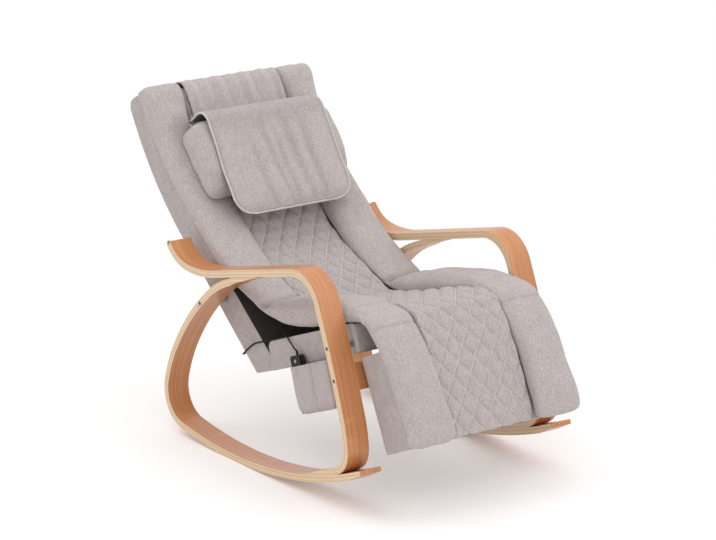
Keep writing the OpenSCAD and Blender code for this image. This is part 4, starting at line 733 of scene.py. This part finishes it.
seam_reach, rim_reach, end_reach = 0.018, 0.014, 0.02
quilt_caps = 2
places, run = even_places(quilt_rows, 0.0036)
row = through(quilt_rows, places)
top_x = np.linspace(1, -1, 75)
low_x = np.linspace(-1, 1, 19)
diamond_gap = 1 / math.hypot(1 / diamond_w, 1 / diamond_l)
sections = []
for r, s in zip(row, run):
    low, high = r[:2], r[2:4]
    wide = quilt_hw + r[4]
    off = (high - low) / np.linalg.norm(high - low)
    one = top_x * quilt_hw / diamond_w + s / diamond_l
    two = top_x * quilt_hw / diamond_w - s / diamond_l
    away = np.minimum(np.abs(one - np.round(one)), np.abs(two - np.round(two))) * diamond_gap
    puff = 1 - np.clip(1 - away / seam_reach, 0, 1) ** 1.8
    rim = np.clip((1 - np.abs(top_x)) * quilt_hw / rim_reach, 0, 1)
    ends = min(1, s / end_reach, (run[-1] - s) / end_reach)
    lift = -channel * (1 - puff) * (0.3 + 0.7 * rim) - 0.0035 * (1 - rim) ** 2 + 0.0012 * puff
    crown = high + np.outer(lift - (1 - ends) * 0.004, off)
    top = np.column_stack([top_x * wide, crown])
    base = np.column_stack([low_x * wide, np.repeat(low[None], len(low_x), 0)])
    sections.append(np.concatenate([top, base]))
quilt = loft("quilted_panel", sections, quilt_caps)
width = len(top_x) + len(low_x)
pattern = quilt.data.uv_layers.new(name="quilting")
run_all = np.concatenate([np.zeros(quilt_caps), run, np.full(quilt_caps, run[-1])])
corner = corner_points(quilt.data)
column = np.concatenate([top_x, low_x]) * quilt_hw
pattern.data.foreach_set(
    "uv", np.stack([column[corner % width], run_all[corner // width]], 1).astype(np.float32).ravel())

# The same cloth as on the bolsters, with the quilting thread: pale, 1.4 mm thick where drawn,
# in 4 mm stitches along both sets of seams.
quilt_cloth, shader, tone, bump = heathered("quilted_cloth", "A69D9C", "CBC2C0", "cut")
apart = add(quilt_cloth, "SeparateXYZ", {"Vector": add(quilt_cloth, "UVMap", uv_map="quilting")})
by_x = add(quilt_cloth, "Math", {0: apart.outputs[0], 1: 1 / diamond_w}, operation="MULTIPLY")
by_run = add(quilt_cloth, "Math", {0: apart.outputs[1], 1: 1 / diamond_l}, operation="MULTIPLY")
threads, nearest = [], []
for first, second in (("ADD", "SUBTRACT"), ("SUBTRACT", "ADD")):
    cross = add(quilt_cloth, "Math", {0: by_x, 1: by_run}, operation=first)
    along = add(quilt_cloth, "Math", {0: by_x, 1: by_run}, operation=second)
    near = add(quilt_cloth, "Math", {0: cross, 1: 0.5}, operation="PINGPONG")
    nearest.append(near)
    on_line = add(quilt_cloth, "MapRange", {"Value": near, "From Min": 0.0004 / diamond_gap,
                                            "From Max": 0.0011 / diamond_gap, "To Min": 1, "To Max": 0})
    stitch = add(quilt_cloth, "Math", {0: along, 1: 2 * diamond_gap / 0.004}, operation="MULTIPLY")
    stitch = add(quilt_cloth, "Math", {0: stitch}, operation="FRACT")
    stitch = add(quilt_cloth, "MapRange", {"Value": stitch, "From Min": 0.72, "From Max": 0.85, "To Min": 1,
                                           "To Max": 0.25})
    threads.append(add(quilt_cloth, "Math", {0: on_line, 1: stitch}, operation="MULTIPLY"))
thread = add(quilt_cloth, "Math", {0: threads[0], 1: threads[1]}, operation="MAXIMUM")
sewn = add(quilt_cloth, "Mix", {0: thread, 6: tone, 7: linear("DAD2CF")})
feed(shader, Base_Color=sewn)
near = add(quilt_cloth, "Math", {0: nearest[0], 1: nearest[1]}, operation="MINIMUM")
rise = add(quilt_cloth, "MapRange", {"Value": near, "From Max": 0.0055 / diamond_gap},
           interpolation_type="SMOOTHSTEP")
groove = add(quilt_cloth, "Bump", {"Height": rise, "Strength": 1.0, "Distance": 0.0016, "Normal": bump})
feed(shader, Normal=groove)
coat(quilt, quilt_cloth)
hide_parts("back_quilt", "seat_quilt", "leg_quilt", "knee_folds")
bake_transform(quilt)

# Head cloth: a single layer of a slightly lighter cloth, sewn behind the head of the back, laid
# over the top and down the front to behind the pillow, with soft ripples down its length.
cloth_line = np.array([
    [568.2, 752.8], [594.2, 797.4], [604.5, 821.2], [592.2, 842.1], [557.8, 863.6], [526.5, 879.5],
    [505.6, 882.4], [485.3, 869.3], [466.5, 841.3], [436.9, 789.3], [416.3, 757.9], [393.8, 727.9],
    [349.4, 677.1]]) / 1000
cloth_hw, cloth_t = 0.152, 0.003
strip_columns = 61


def resampled(line, step):
    """A line in even steps of about the given length."""
    run = length_along(line)
    wanted = np.linspace(0, run[-1], int(round(run[-1] / step)) + 1)
    return np.stack([np.interp(wanted, run, line[:, k]) for k in range(line.shape[1])], 1), wanted


def off_line(line):
    """Unit normals to the left of a line in the side view."""
    d = np.gradient(line, axis=0)
    d /= np.linalg.norm(d, axis=1)[:, None]
    return np.stack([-d[:, 1], d[:, 0]], 1)


def cloth_strip(name, line, half_widths, out, thick, lift):
    """A cloth of the given thickness along a line, lifted off it by lift(x share, run, whole run)."""
    columns = np.linspace(-1, 1, strip_columns)
    line, run = resampled(line, 0.005)
    half = half_widths(run, run[-1])
    normal = off_line(line) * out
    sections = []
    for p, n, h, s in zip(line, normal, half, run):
        rise = lift(columns, s, run[-1])
        under = np.column_stack([columns * h, p + np.outer(rise * 0.85, n)])
        over = np.column_stack([columns * h, p + np.outer(thick + rise, n)])
        sections.append(np.concatenate([under, over[::-1]]))
    made = loft(name, sections, 0)
    rises = np.concatenate([np.concatenate([r, r[::-1]]) for r in (lift(columns, s, run[-1]) for s in run)])
    note_points(made, "rise", rises)
    return made, line, run


def hung_cloth(name, dark, light, low, high, deepest=0.86):
    """Woven cloth with a soft painted shade in the hollows between folds, below the rise low."""
    material, shader, tone = heathered(name, dark, light, "cut")[:3]
    rise = add(material, "Attribute", attribute_name="rise")
    shade = add(material, "MapRange", {"Value": rise, "From Min": low, "From Max": high, "To Min": deepest,
                                       "To Max": 1.02}, interpolation_type="SMOOTHSTEP")
    tone = add(material, "Mix", {0: 1.0, 6: tone, 7: shade}, blend_type="MULTIPLY")
    feed(shader, Base_Color=tone)
    return material, shader, tone


# Painted shade in the hollows between the head cloth's ripples.
head_tone = hung_cloth("head_cloth_weave", "ADA4A3", "D0C7C5", 0.0, 0.0030)[0]
dense = through(cloth_line, np.linspace(0, len(cloth_line) - 1, 300))
head_ripples = ((-0.80, 0.0022, 0.05), (-0.52, 0.0012, 0.04), (-0.22, 0.0018, 0.06), (0.08, 0.0011, 0.04),
                (0.34, 0.0022, 0.05), (0.52, 0.0013, 0.035), (0.74, 0.0024, 0.05))


def head_lift(x, s, total):
    """How far the head cloth lies off its line, at a share of its half width and a run along it."""
    rise = 0.0010 + 0.0004 * np.sin(19 * x + 4 * s)
    for at, size, wide in head_ripples:
        rise = rise + size * dip(x, at + 0.35 * (s - 0.2), wide)
    return rise


head_cloth, _, head_run = cloth_strip("head_cloth_cover", dense, lambda s, total: np.full(len(s), cloth_hw),
                                      -1, cloth_t, head_lift)
coat(head_cloth, head_tone)
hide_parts("head_cloth")
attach(head_cloth, "chair")

# Neck pillow: fibre-filled grey cloth, flat on the back, crowned in front, with sewn end panels.
# It slides a little down the back; the tapes that would hold it aren't made.
pillow_line = rounded(np.array([[351.7, 686.7], [422.8, 774.5], [350.0, 826.0], [324.1, 805.0],
                                [290.7, 759.1], [259.1, 697.7], [244.8, 645.6], [269.4, 608.6],
                                [351.7, 686.7]]) / 1000,
                      [0, 0.028, 0.034, 0.09, 0.26, 0.26, 0.03, 0.016, 0])[:-1]
pillow_mid = np.array([0.3213, 0.7148])
pillow_hw, pillow_ring = 0.223, 64
pillow_ends = np.array([[-1, 0.84], [-0.985, 0.91], [-0.95, 0.97], [-0.88, 1], [0.88, 1], [0.95, 0.97],
                        [0.985, 0.91], [1, 0.84]])
sections = []
for x in np.concatenate([[-1, -0.992, -0.98, -0.96], np.linspace(-0.94, 0.94, 48), [0.96, 0.98, 0.992, 1]]):
    share = np.interp(x, pillow_ends[:, 0], pillow_ends[:, 1])
    ring = pillow_mid + (pillow_line - pillow_mid) * share
    sections.append(even_ring(np.column_stack([np.full(len(ring), x * pillow_hw), ring]), pillow_ring))


sag_right, sag_left = 0.015, 0.005


def sagged(points, left):
    """Lets the pillow's upper corners sag, the right one fully and the left one by the given depth."""
    points = np.asarray(points, float)
    corner = np.clip((np.abs(points[..., 0]) - 0.115) / 0.1, 0, 1.1) ** 2
    high = np.clip((points[..., 2] - 0.70) / 0.09, 0, 1)
    drop = np.where(points[..., 0] > 0, sag_right, left) * corner * high
    return points - drop[..., None] * np.array([0, -0.45, 0.89])


pillow = loft("neck_pillow_cushion", sagged(sections, sag_left), 6)
moved_out(pillow, -0.0026)
stuffed(pillow, 4, 0.002)
pillow_rings = len(pillow.data.vertices) // pillow_ring
moved_out(pillow, 0.0009 * ripple(np.repeat(np.arange(pillow_rings) * 0.009, pillow_ring),
                                  np.tile(np.arange(pillow_ring) * 0.008, pillow_rings), 5, 0.09))
subdivided(pillow, 1)
coat(pillow, pad_cloth)
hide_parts("pillow")
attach(pillow, "neck_pillow")

# Corded hinge of the flap: a roll of the grey cloth along the pillow's top, on which the flap turns.
coat(nodes["flap_cord"], shell_cloth)

# Flap: a double cloth that hangs from behind the pillow over its front, with rounded lower corners
# and a welted edge. Soft ripples run down it. Its cloth has painted shade in the ripples' hollows,
# a painted shade line in the groove inside the welt, and painted shade on its underside.
flap_line = rounded(np.array([[413.2, 796.2], [343.5, 852.4], [321.7, 809.4], [290.0, 759.7], [258.1, 698.7],
                              [221.6, 651.3], [200.4, 617.9], [185.9, 591.3]]) / 1000,
                    [0, 0.036, 0.09, 0.26, 0.26, 0.2, 0.1, 0])
flap_hw, flap_t, flap_corner = 0.185, 0.0048, 0.052
flap_folds = ((-0.45, 0.0030, 0.08), (-0.12, 0.0046, 0.06), (0.03, 0.0028, 0.05), (0.27, 0.0048, 0.07),
              (0.50, 0.0034, 0.06))


def flap_half(run, total):
    """Half the flap's width at a run down it, with its lower corners rounded."""
    left = np.maximum(total - run, 0)
    inside = np.clip(flap_corner - left, 0, flap_corner)
    return flap_hw - flap_corner + np.sqrt(np.maximum(flap_corner ** 2 - inside ** 2, 0.0))


def flap_lift(x, s, total):
    """How far the flap lies off its line, at a share of its half width and a run down it."""
    falls = np.clip((s - 0.10) / 0.10, 0, 1)
    soft = 0.0010 * np.sin(15 * x + 2.1 + 3 * s) + 0.0005 * np.sin(33 * x - 9 * s)
    for at, size, wide in flap_folds:
        soft = soft + size * (1 - dip(x, at + 0.5 * (s - 0.2), wide)) - 0.7 * size
    edge = -0.0010 * np.clip((np.abs(x) - 0.93) / 0.05, 0, 1)
    falls = falls * np.clip((total - s) / 0.025, 0, 1) * np.clip((1 - np.abs(x)) / 0.08, 0, 1)
    return np.maximum(0.0002, 0.0016 + (soft - 0.0024) * falls + edge)


flap, flap_path, flap_run = cloth_strip("pillow_flap_cover", flap_line, flap_half, -1, flap_t - 0.001,
                                        flap_lift)
flap_cloth_painted_shade, shader, tone = hung_cloth("heathered_flap_cloth", "A69D9C", "CBC2C0", 0.0004, 0.0044, 0.85)
place = points_of(flap)
run_all = np.repeat(flap_run, 2 * strip_columns)
half_all = np.repeat(flap_half(flap_run, flap_run[-1]), 2 * strip_columns)
note_points(flap, "edge_gap", np.minimum(half_all - np.abs(place[:, 0]), flap_run[-1] - run_all))
note_points(flap, "painted_shade_underside", np.tile(np.repeat((1, 0), strip_columns), len(flap_run)))
put_points(flap, sagged(place, 0.0))
# Painted shade: the cloth is darker within 2 to 5 mm of the edge, in the groove along the welt.
gap = add(flap_cloth_painted_shade, "Attribute", attribute_name="edge_gap")
inner = add(flap_cloth_painted_shade, "MapRange", {"Value": gap, "From Min": 0.0022, "From Max": 0.0052, "To Min": 1,
                                     "To Max": 0})
tone = add(flap_cloth_painted_shade, "Mix", {0: inner, 6: tone, 7: linear("837A79")})
# Painted shade: the flap's underside is dark grey, for the shade in the gap beneath its edge.
back = add(flap_cloth_painted_shade, "Attribute", attribute_name="painted_shade_underside")
tone = add(flap_cloth_painted_shade, "Mix", {0: back, 6: tone, 7: linear("4A4645")})
feed(shader, Base_Color=tone)
coat(flap, flap_cloth_painted_shade)
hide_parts("pillow_flap")
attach(flap, "flap")

# Welt: a cord in a strip of the same cloth, 6.6 mm thick with the cloth round it, sewn into the
# edge of the flap on three sides. It is drawn a little paler than the flap.
welt_r, welt_out, low_points = 0.0033, 0.0009, 58
half = flap_half(flap_run, flap_run[-1])
normal = -off_line(flap_path)
skin = flap_path + normal * (flap_t / 2 + welt_out)
edge_left = np.column_stack([-half, skin])
across = np.linspace(-half[-1], half[-1], low_points + 2)[1:-1]
edge_low = np.column_stack([across, np.repeat(skin[-1][None], low_points, 0)])
edge_right = np.column_stack([half, skin])[::-1]
welt_line = resampled(np.concatenate([edge_left[2:], edge_low, edge_right[:-2]]), 0.005)[0]
welt = loft("flap_welt", tube_rings(sagged(welt_line, 0.0), welt_r, 10), 1)
coat(welt, heathered("welt_cloth", "BDB4B1", "D9D1CE", "cut")[0])
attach(welt, "flap")

# Edge stitching of the flap: one row of lockstitch, polyester thread, 6 mm inside the welt. The
# stitches are 4 mm long, drawn 0.9 mm thick. Geometry Nodes set one stitch at each step of the row.
thread_cloth = two_toned("polyester_thread", "C4BBB8", "E2DBD8", {"Scale": 420, "Distortion": 1}, "TexWave",
                         Roughness=0.6, Specular_IOR_Level=0.3)
rows = bpy.data.node_groups.new("stitch_row", "GeometryNodeTree")
named = {"Geometry": rows.interface.new_socket("Geometry", in_out="INPUT", socket_type="NodeSocketGeometry")}
for label in ("Step", "Stitch length", "Thread thickness"):
    named[label] = rows.interface.new_socket(label, in_out="INPUT", socket_type="NodeSocketFloat")
named["Thread"] = rows.interface.new_socket("Thread", in_out="INPUT", socket_type="NodeSocketMaterial")
rows.interface.new_socket("Geometry", in_out="OUTPUT", socket_type="NodeSocketGeometry")
given, curve, steps, tangent, turned, size, bead, shaped, placed, real, finish, result = (
    rows.nodes.new(kind) for kind in (
        "NodeGroupInput", "GeometryNodeMeshToCurve", "GeometryNodeResampleCurve", "GeometryNodeInputTangent",
        "FunctionNodeAlignRotationToVector", "ShaderNodeCombineXYZ", "GeometryNodeMeshUVSphere",
        "GeometryNodeTransform", "GeometryNodeInstanceOnPoints", "GeometryNodeRealizeInstances",
        "GeometryNodeSetMaterial", "NodeGroupOutput"))
steps.mode = "LENGTH"
turned.axis = "Z"
bead.inputs["Segments"].default_value, bead.inputs["Rings"].default_value = 8, 5
bead.inputs["Radius"].default_value = 0.5
for source, target, socket in (
        (given.outputs["Geometry"], curve, 0), (curve, steps, "Curve"), (tangent, turned, "Vector"),
        (given.outputs["Step"], steps, "Length"), (given.outputs["Thread thickness"], size, 0),
        (given.outputs["Thread thickness"], size, 1), (given.outputs["Stitch length"], size, 2),
        (bead, shaped, "Geometry"), (size, shaped, "Scale"), (steps, placed, "Points"),
        (shaped, placed, "Instance"), (turned, placed, "Rotation"), (placed, real, 0),
        (real, finish, "Geometry"), (given.outputs["Thread"], finish, "Material"), (finish, result, 0)):
    rows.links.new(outlet(source), target.inputs[socket])


def stitch_row(name, line, body):
    """One row of stitches along a line of points, as a piece on the given body."""
    mesh = bpy.data.meshes.new(name)
    mesh.from_pydata(np.asarray(line).tolist(), [(i, i + 1) for i in range(len(line) - 1)], [])
    row = bpy.data.objects.new(name, mesh)
    scene.collection.objects.link(row)
    maker = row.modifiers.new("stitches", "NODES")
    maker.node_group = rows
    for label, value in (("Step", 0.0052), ("Stitch length", 0.004), ("Thread thickness", 0.0009),
                         ("Thread", thread_cloth)):
        maker[named[label].identifier] = value
    plain_mesh(row)
    coat(row, thread_cloth)
    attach(row, body)
    return row


set_in, thread_rise = 0.006, 0.0006
inner_total, inner_corner = flap_run[-1] - set_in, flap_corner - set_in
row_run = np.concatenate([np.arange(0.06, inner_total - inner_corner, 0.004),
                          inner_total - inner_corner * (1 - np.sin(np.linspace(0, np.pi / 2, 14)))])
short = np.clip(inner_corner - (inner_total - row_run), 0, inner_corner)
row_x = flap_hw - flap_corner + np.sqrt(np.maximum(inner_corner ** 2 - short ** 2, 0))
low_x = np.linspace(row_x[-1], -row_x[-1], 50)[1:-1]
row_run = np.concatenate([row_run, np.full(len(low_x), inner_total), row_run[::-1]])
row_x = np.concatenate([row_x, low_x, -row_x[::-1]])
height = np.array([flap_t - thread_rise + float(flap_lift(x / h, r, flap_run[-1]))
                   for x, r, h in zip(row_x, row_run, np.interp(row_run, flap_run, half))])
on_path, off_path = (np.stack([np.interp(row_run, flap_run, way[:, k]) for k in (0, 1)], 1)
                     for way in (flap_path, normal))
row_line = sagged(np.column_stack([row_x, on_path + off_path * height[:, None]]), 0.0)
flap_stitches = stitch_row("flap_stitching", row_line, "flap")

# Pocket: a box-shaped bag of the grey cloth on the left side of the seat box, a little slack, with
# its rim open for the handset. Sewn flat to the box.
# The seat box leans back: a point of it, the way ahead and the way up, in the side view.
seat_start, seat_ahead = np.array([-0.0670, 0.2473]), np.array([-0.93367, 0.35813])
seat_up = np.array([0.35813, 0.93367])
pocket_x0, pocket_x1, pocket_f0, pocket_w, pocket_h = 0.2563, 0.2863, 0.118, 0.170, 0.124
pocket_corner, pocket_ring = 0.024, 96
sections, folds = [], []
for v in np.concatenate([[0.0, 0.01, 0.03, 0.06, 0.10, 0.14], np.linspace(0.18, 1, 22)]):
    height = -pocket_h * (1 - v)
    low = 1 - (1 - min(1, v / 0.12)) ** 2
    inset = 0.010 * (1 - low)
    turn = max(0.0, pocket_corner - pocket_h * v)
    turn = pocket_corner - math.sqrt(pocket_corner ** 2 - turn ** 2)
    f0, f1 = pocket_f0 + turn, pocket_f0 + pocket_w - turn
    belly = 0.0022 * math.sin(math.pi * min(1, v * 1.1)) + 0.0012 * (v > 0.93)
    x1 = pocket_x1 - inset * 0.6 + belly - 0.003
    ring = rounded([[(f0 + f1) / 2, pocket_x0], [f1, pocket_x0], [f1, x1], [f0, x1], [f0, pocket_x0],
                    [(f0 + f1) / 2, pocket_x0]], [0, 0.003, 0.009, 0.009, 0.003, 0])[:-1]
    flat = np.column_stack([-ring[:, 1], seat_start + np.outer(ring[:, 0], seat_ahead) + seat_up * height])
    ring = even_ring(flat, pocket_ring)
    depth = np.clip((-ring[:, 0] - pocket_x0) / (x1 - pocket_x0), 0, 1)
    f = (ring[:, 1:] - seat_start) @ seat_ahead
    fold = 0.0040 * dip(f, 0.212, 0.007) * (0.4 + 0.6 * v)
    fold = fold + 0.0022 * dip(f, 0.165 - 0.02 * v, 0.006) * v
    fold = fold - 0.0030 * dip(f, 0.226, 0.006) * v
    ring[:, 0] += fold * depth ** 6
    folds.append(-fold * depth ** 6)
    sections.append(ring)
count, width = len(sections), pocket_ring
faces = [(i * width + j, i * width + (j + 1) % width, (i + 1) * width + (j + 1) % width, (i + 1) * width + j)
         for i in range(count - 1) for j in range(width)]
faces.append(tuple(range(width))[::-1])
pocket = new_mesh("side_pocket", np.reshape(sections, (-1, 3)), faces)
note_points(pocket, "rise", folds)
thick = pocket.modifiers.new("cloth", "SOLIDIFY")
thick.thickness, thick.offset = 0.002, -1
plain_mesh(pocket)
# Painted shade in the hollows of the pocket's folds.
coat(pocket, hung_cloth("pocket_cloth", "A49B9A", "C4BBB9", -0.0035, 0.0010)[0])
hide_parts("pocket")
rim = sections[-4]
rim = rim[rim[:, 0] < -pocket_x0 - 0.004]
rim = rim[np.argsort((rim[:, 1:] - seat_start) @ seat_ahead)]
stitch_row("pocket_stitching", rim - np.array([0.0004, 0, 0]), "chair")
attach(pocket, "chair")

# Handset: a flat moulded ABS case in two halves with four round keys, satin cover, matt body.
gloss, shader = finish_of("satin_abs_black", Base_Color=linear("131112"), Roughness=0.4, IOR=1.45,
                          Specular_IOR_Level=0.25)
wear = add(gloss, "TexNoise", {"Vector": add(gloss, "TexCoord"), "Scale": 160, "Detail": 3})
feed(shader, Roughness=add(gloss, "MapRange", {"Value": wear, "To Min": 0.36, "To Max": 0.5}))
keys = two_toned("moulded_key_rubber", "8E8A89", "A9A5A3", {"Scale": 900, "Detail": 2}, Roughness=0.6,
                 IOR=1.5)
coat(nodes["handset_body"], abs_black)
coat(nodes["handset_cover"], gloss)
for key in ("power", "mode", "heat", "speed"):
    coat(nodes[f"button_{key}"], keys)

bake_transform(lead)

# Studio: a pale seamless floor that fades into the white background, strong even light from all
# round as in a white booth, and five weak soft lamps: a key from the upper left behind the chair,
# two fills in front, one at the right and a top light, so that a faint shadow falls to the front.
floor = new_mesh("floor", [(-9, -9, 0), (9, -9, 0), (9, 9, 0), (-9, 9, 0)], [(0, 1, 2, 3)])
paper, shader = finish_of("paper_floor", Base_Color=linear("F7F5F4"), Roughness=0.9, Specular_IOR_Level=0.1)
rays = add(paper, "LightPath")
seen = add(paper, "Math", {0: rays.outputs["Is Camera Ray"], 1: rays.outputs["Is Glossy Ray"]},
           operation="MAXIMUM")
white = add(paper, "Emission", {"Color": (1, 1, 1, 1), "Strength": 1.0})
centred = add(paper, "VectorMath", {0: add(paper, "TexCoord")}, operation="LENGTH")
fade = add(paper, "MapRange", {"Value": centred, "From Min": 0.9, "From Max": 2.2},
           interpolation_type="SMOOTHSTEP")
fade = add(paper, "Math", {0: fade, 1: seen}, operation="MULTIPLY")
veil = add(paper, "Math", {0: seen, 1: 0.15}, operation="MULTIPLY")
veil = add(paper, "Emission", {"Color": (1, 1, 1, 1), "Strength": veil})
lit = add(paper, "AddShader", {0: shader, 1: veil})
mixed = add(paper, "MixShader", {0: fade, 1: lit, 2: white})
output = next(n for n in paper.node_tree.nodes if n.type == "OUTPUT_MATERIAL")
feed(output, Surface=mixed)
coat(floor, paper)

world = bpy.data.worlds.new("studio")
world.use_nodes = True
scene.world = world
world.node_tree.nodes.clear()
rays = add(world, "LightPath")
seen = add(world, "Math", {0: rays.outputs["Is Camera Ray"], 1: rays.outputs["Is Glossy Ray"]},
           operation="MAXIMUM")
seen = add(world, "Math", {0: seen, 1: rays.outputs["Is Transmission Ray"]}, operation="MAXIMUM")
light = add(world, "Background", {"Color": (1, 1, 1, 1), "Strength": 0.88})
backdrop = add(world, "Background", {"Color": (1, 1, 1, 1), "Strength": 1.0})
add(world, "OutputWorld", {"Surface": add(world, "MixShader", {0: seen, 1: light, 2: backdrop})})
for name, place, size, watts in (
        ("key", (-1.6, 1.3, 3.4), 2.2, 18), ("front", (-2.4, -3.2, 2.2), 2.6, 12),
        ("right_front", (1.6, -3.4, 3.0), 2.6, 15), ("right", (3.0, -0.6, 2.4), 2.2, 11),
        ("top", (0.3, -0.6, 4.0), 2.5, 8)):
    lamp = bpy.data.objects.new(name, bpy.data.lights.new(name, "AREA"))
    scene.collection.objects.link(lamp)
    lamp.data.energy, lamp.data.size = watts, size
    lamp.location = place
    lamp.rotation_euler = (Vector(place) - Vector((0, -0.1, 0.4))).to_track_quat("Z", "Y").to_euler()
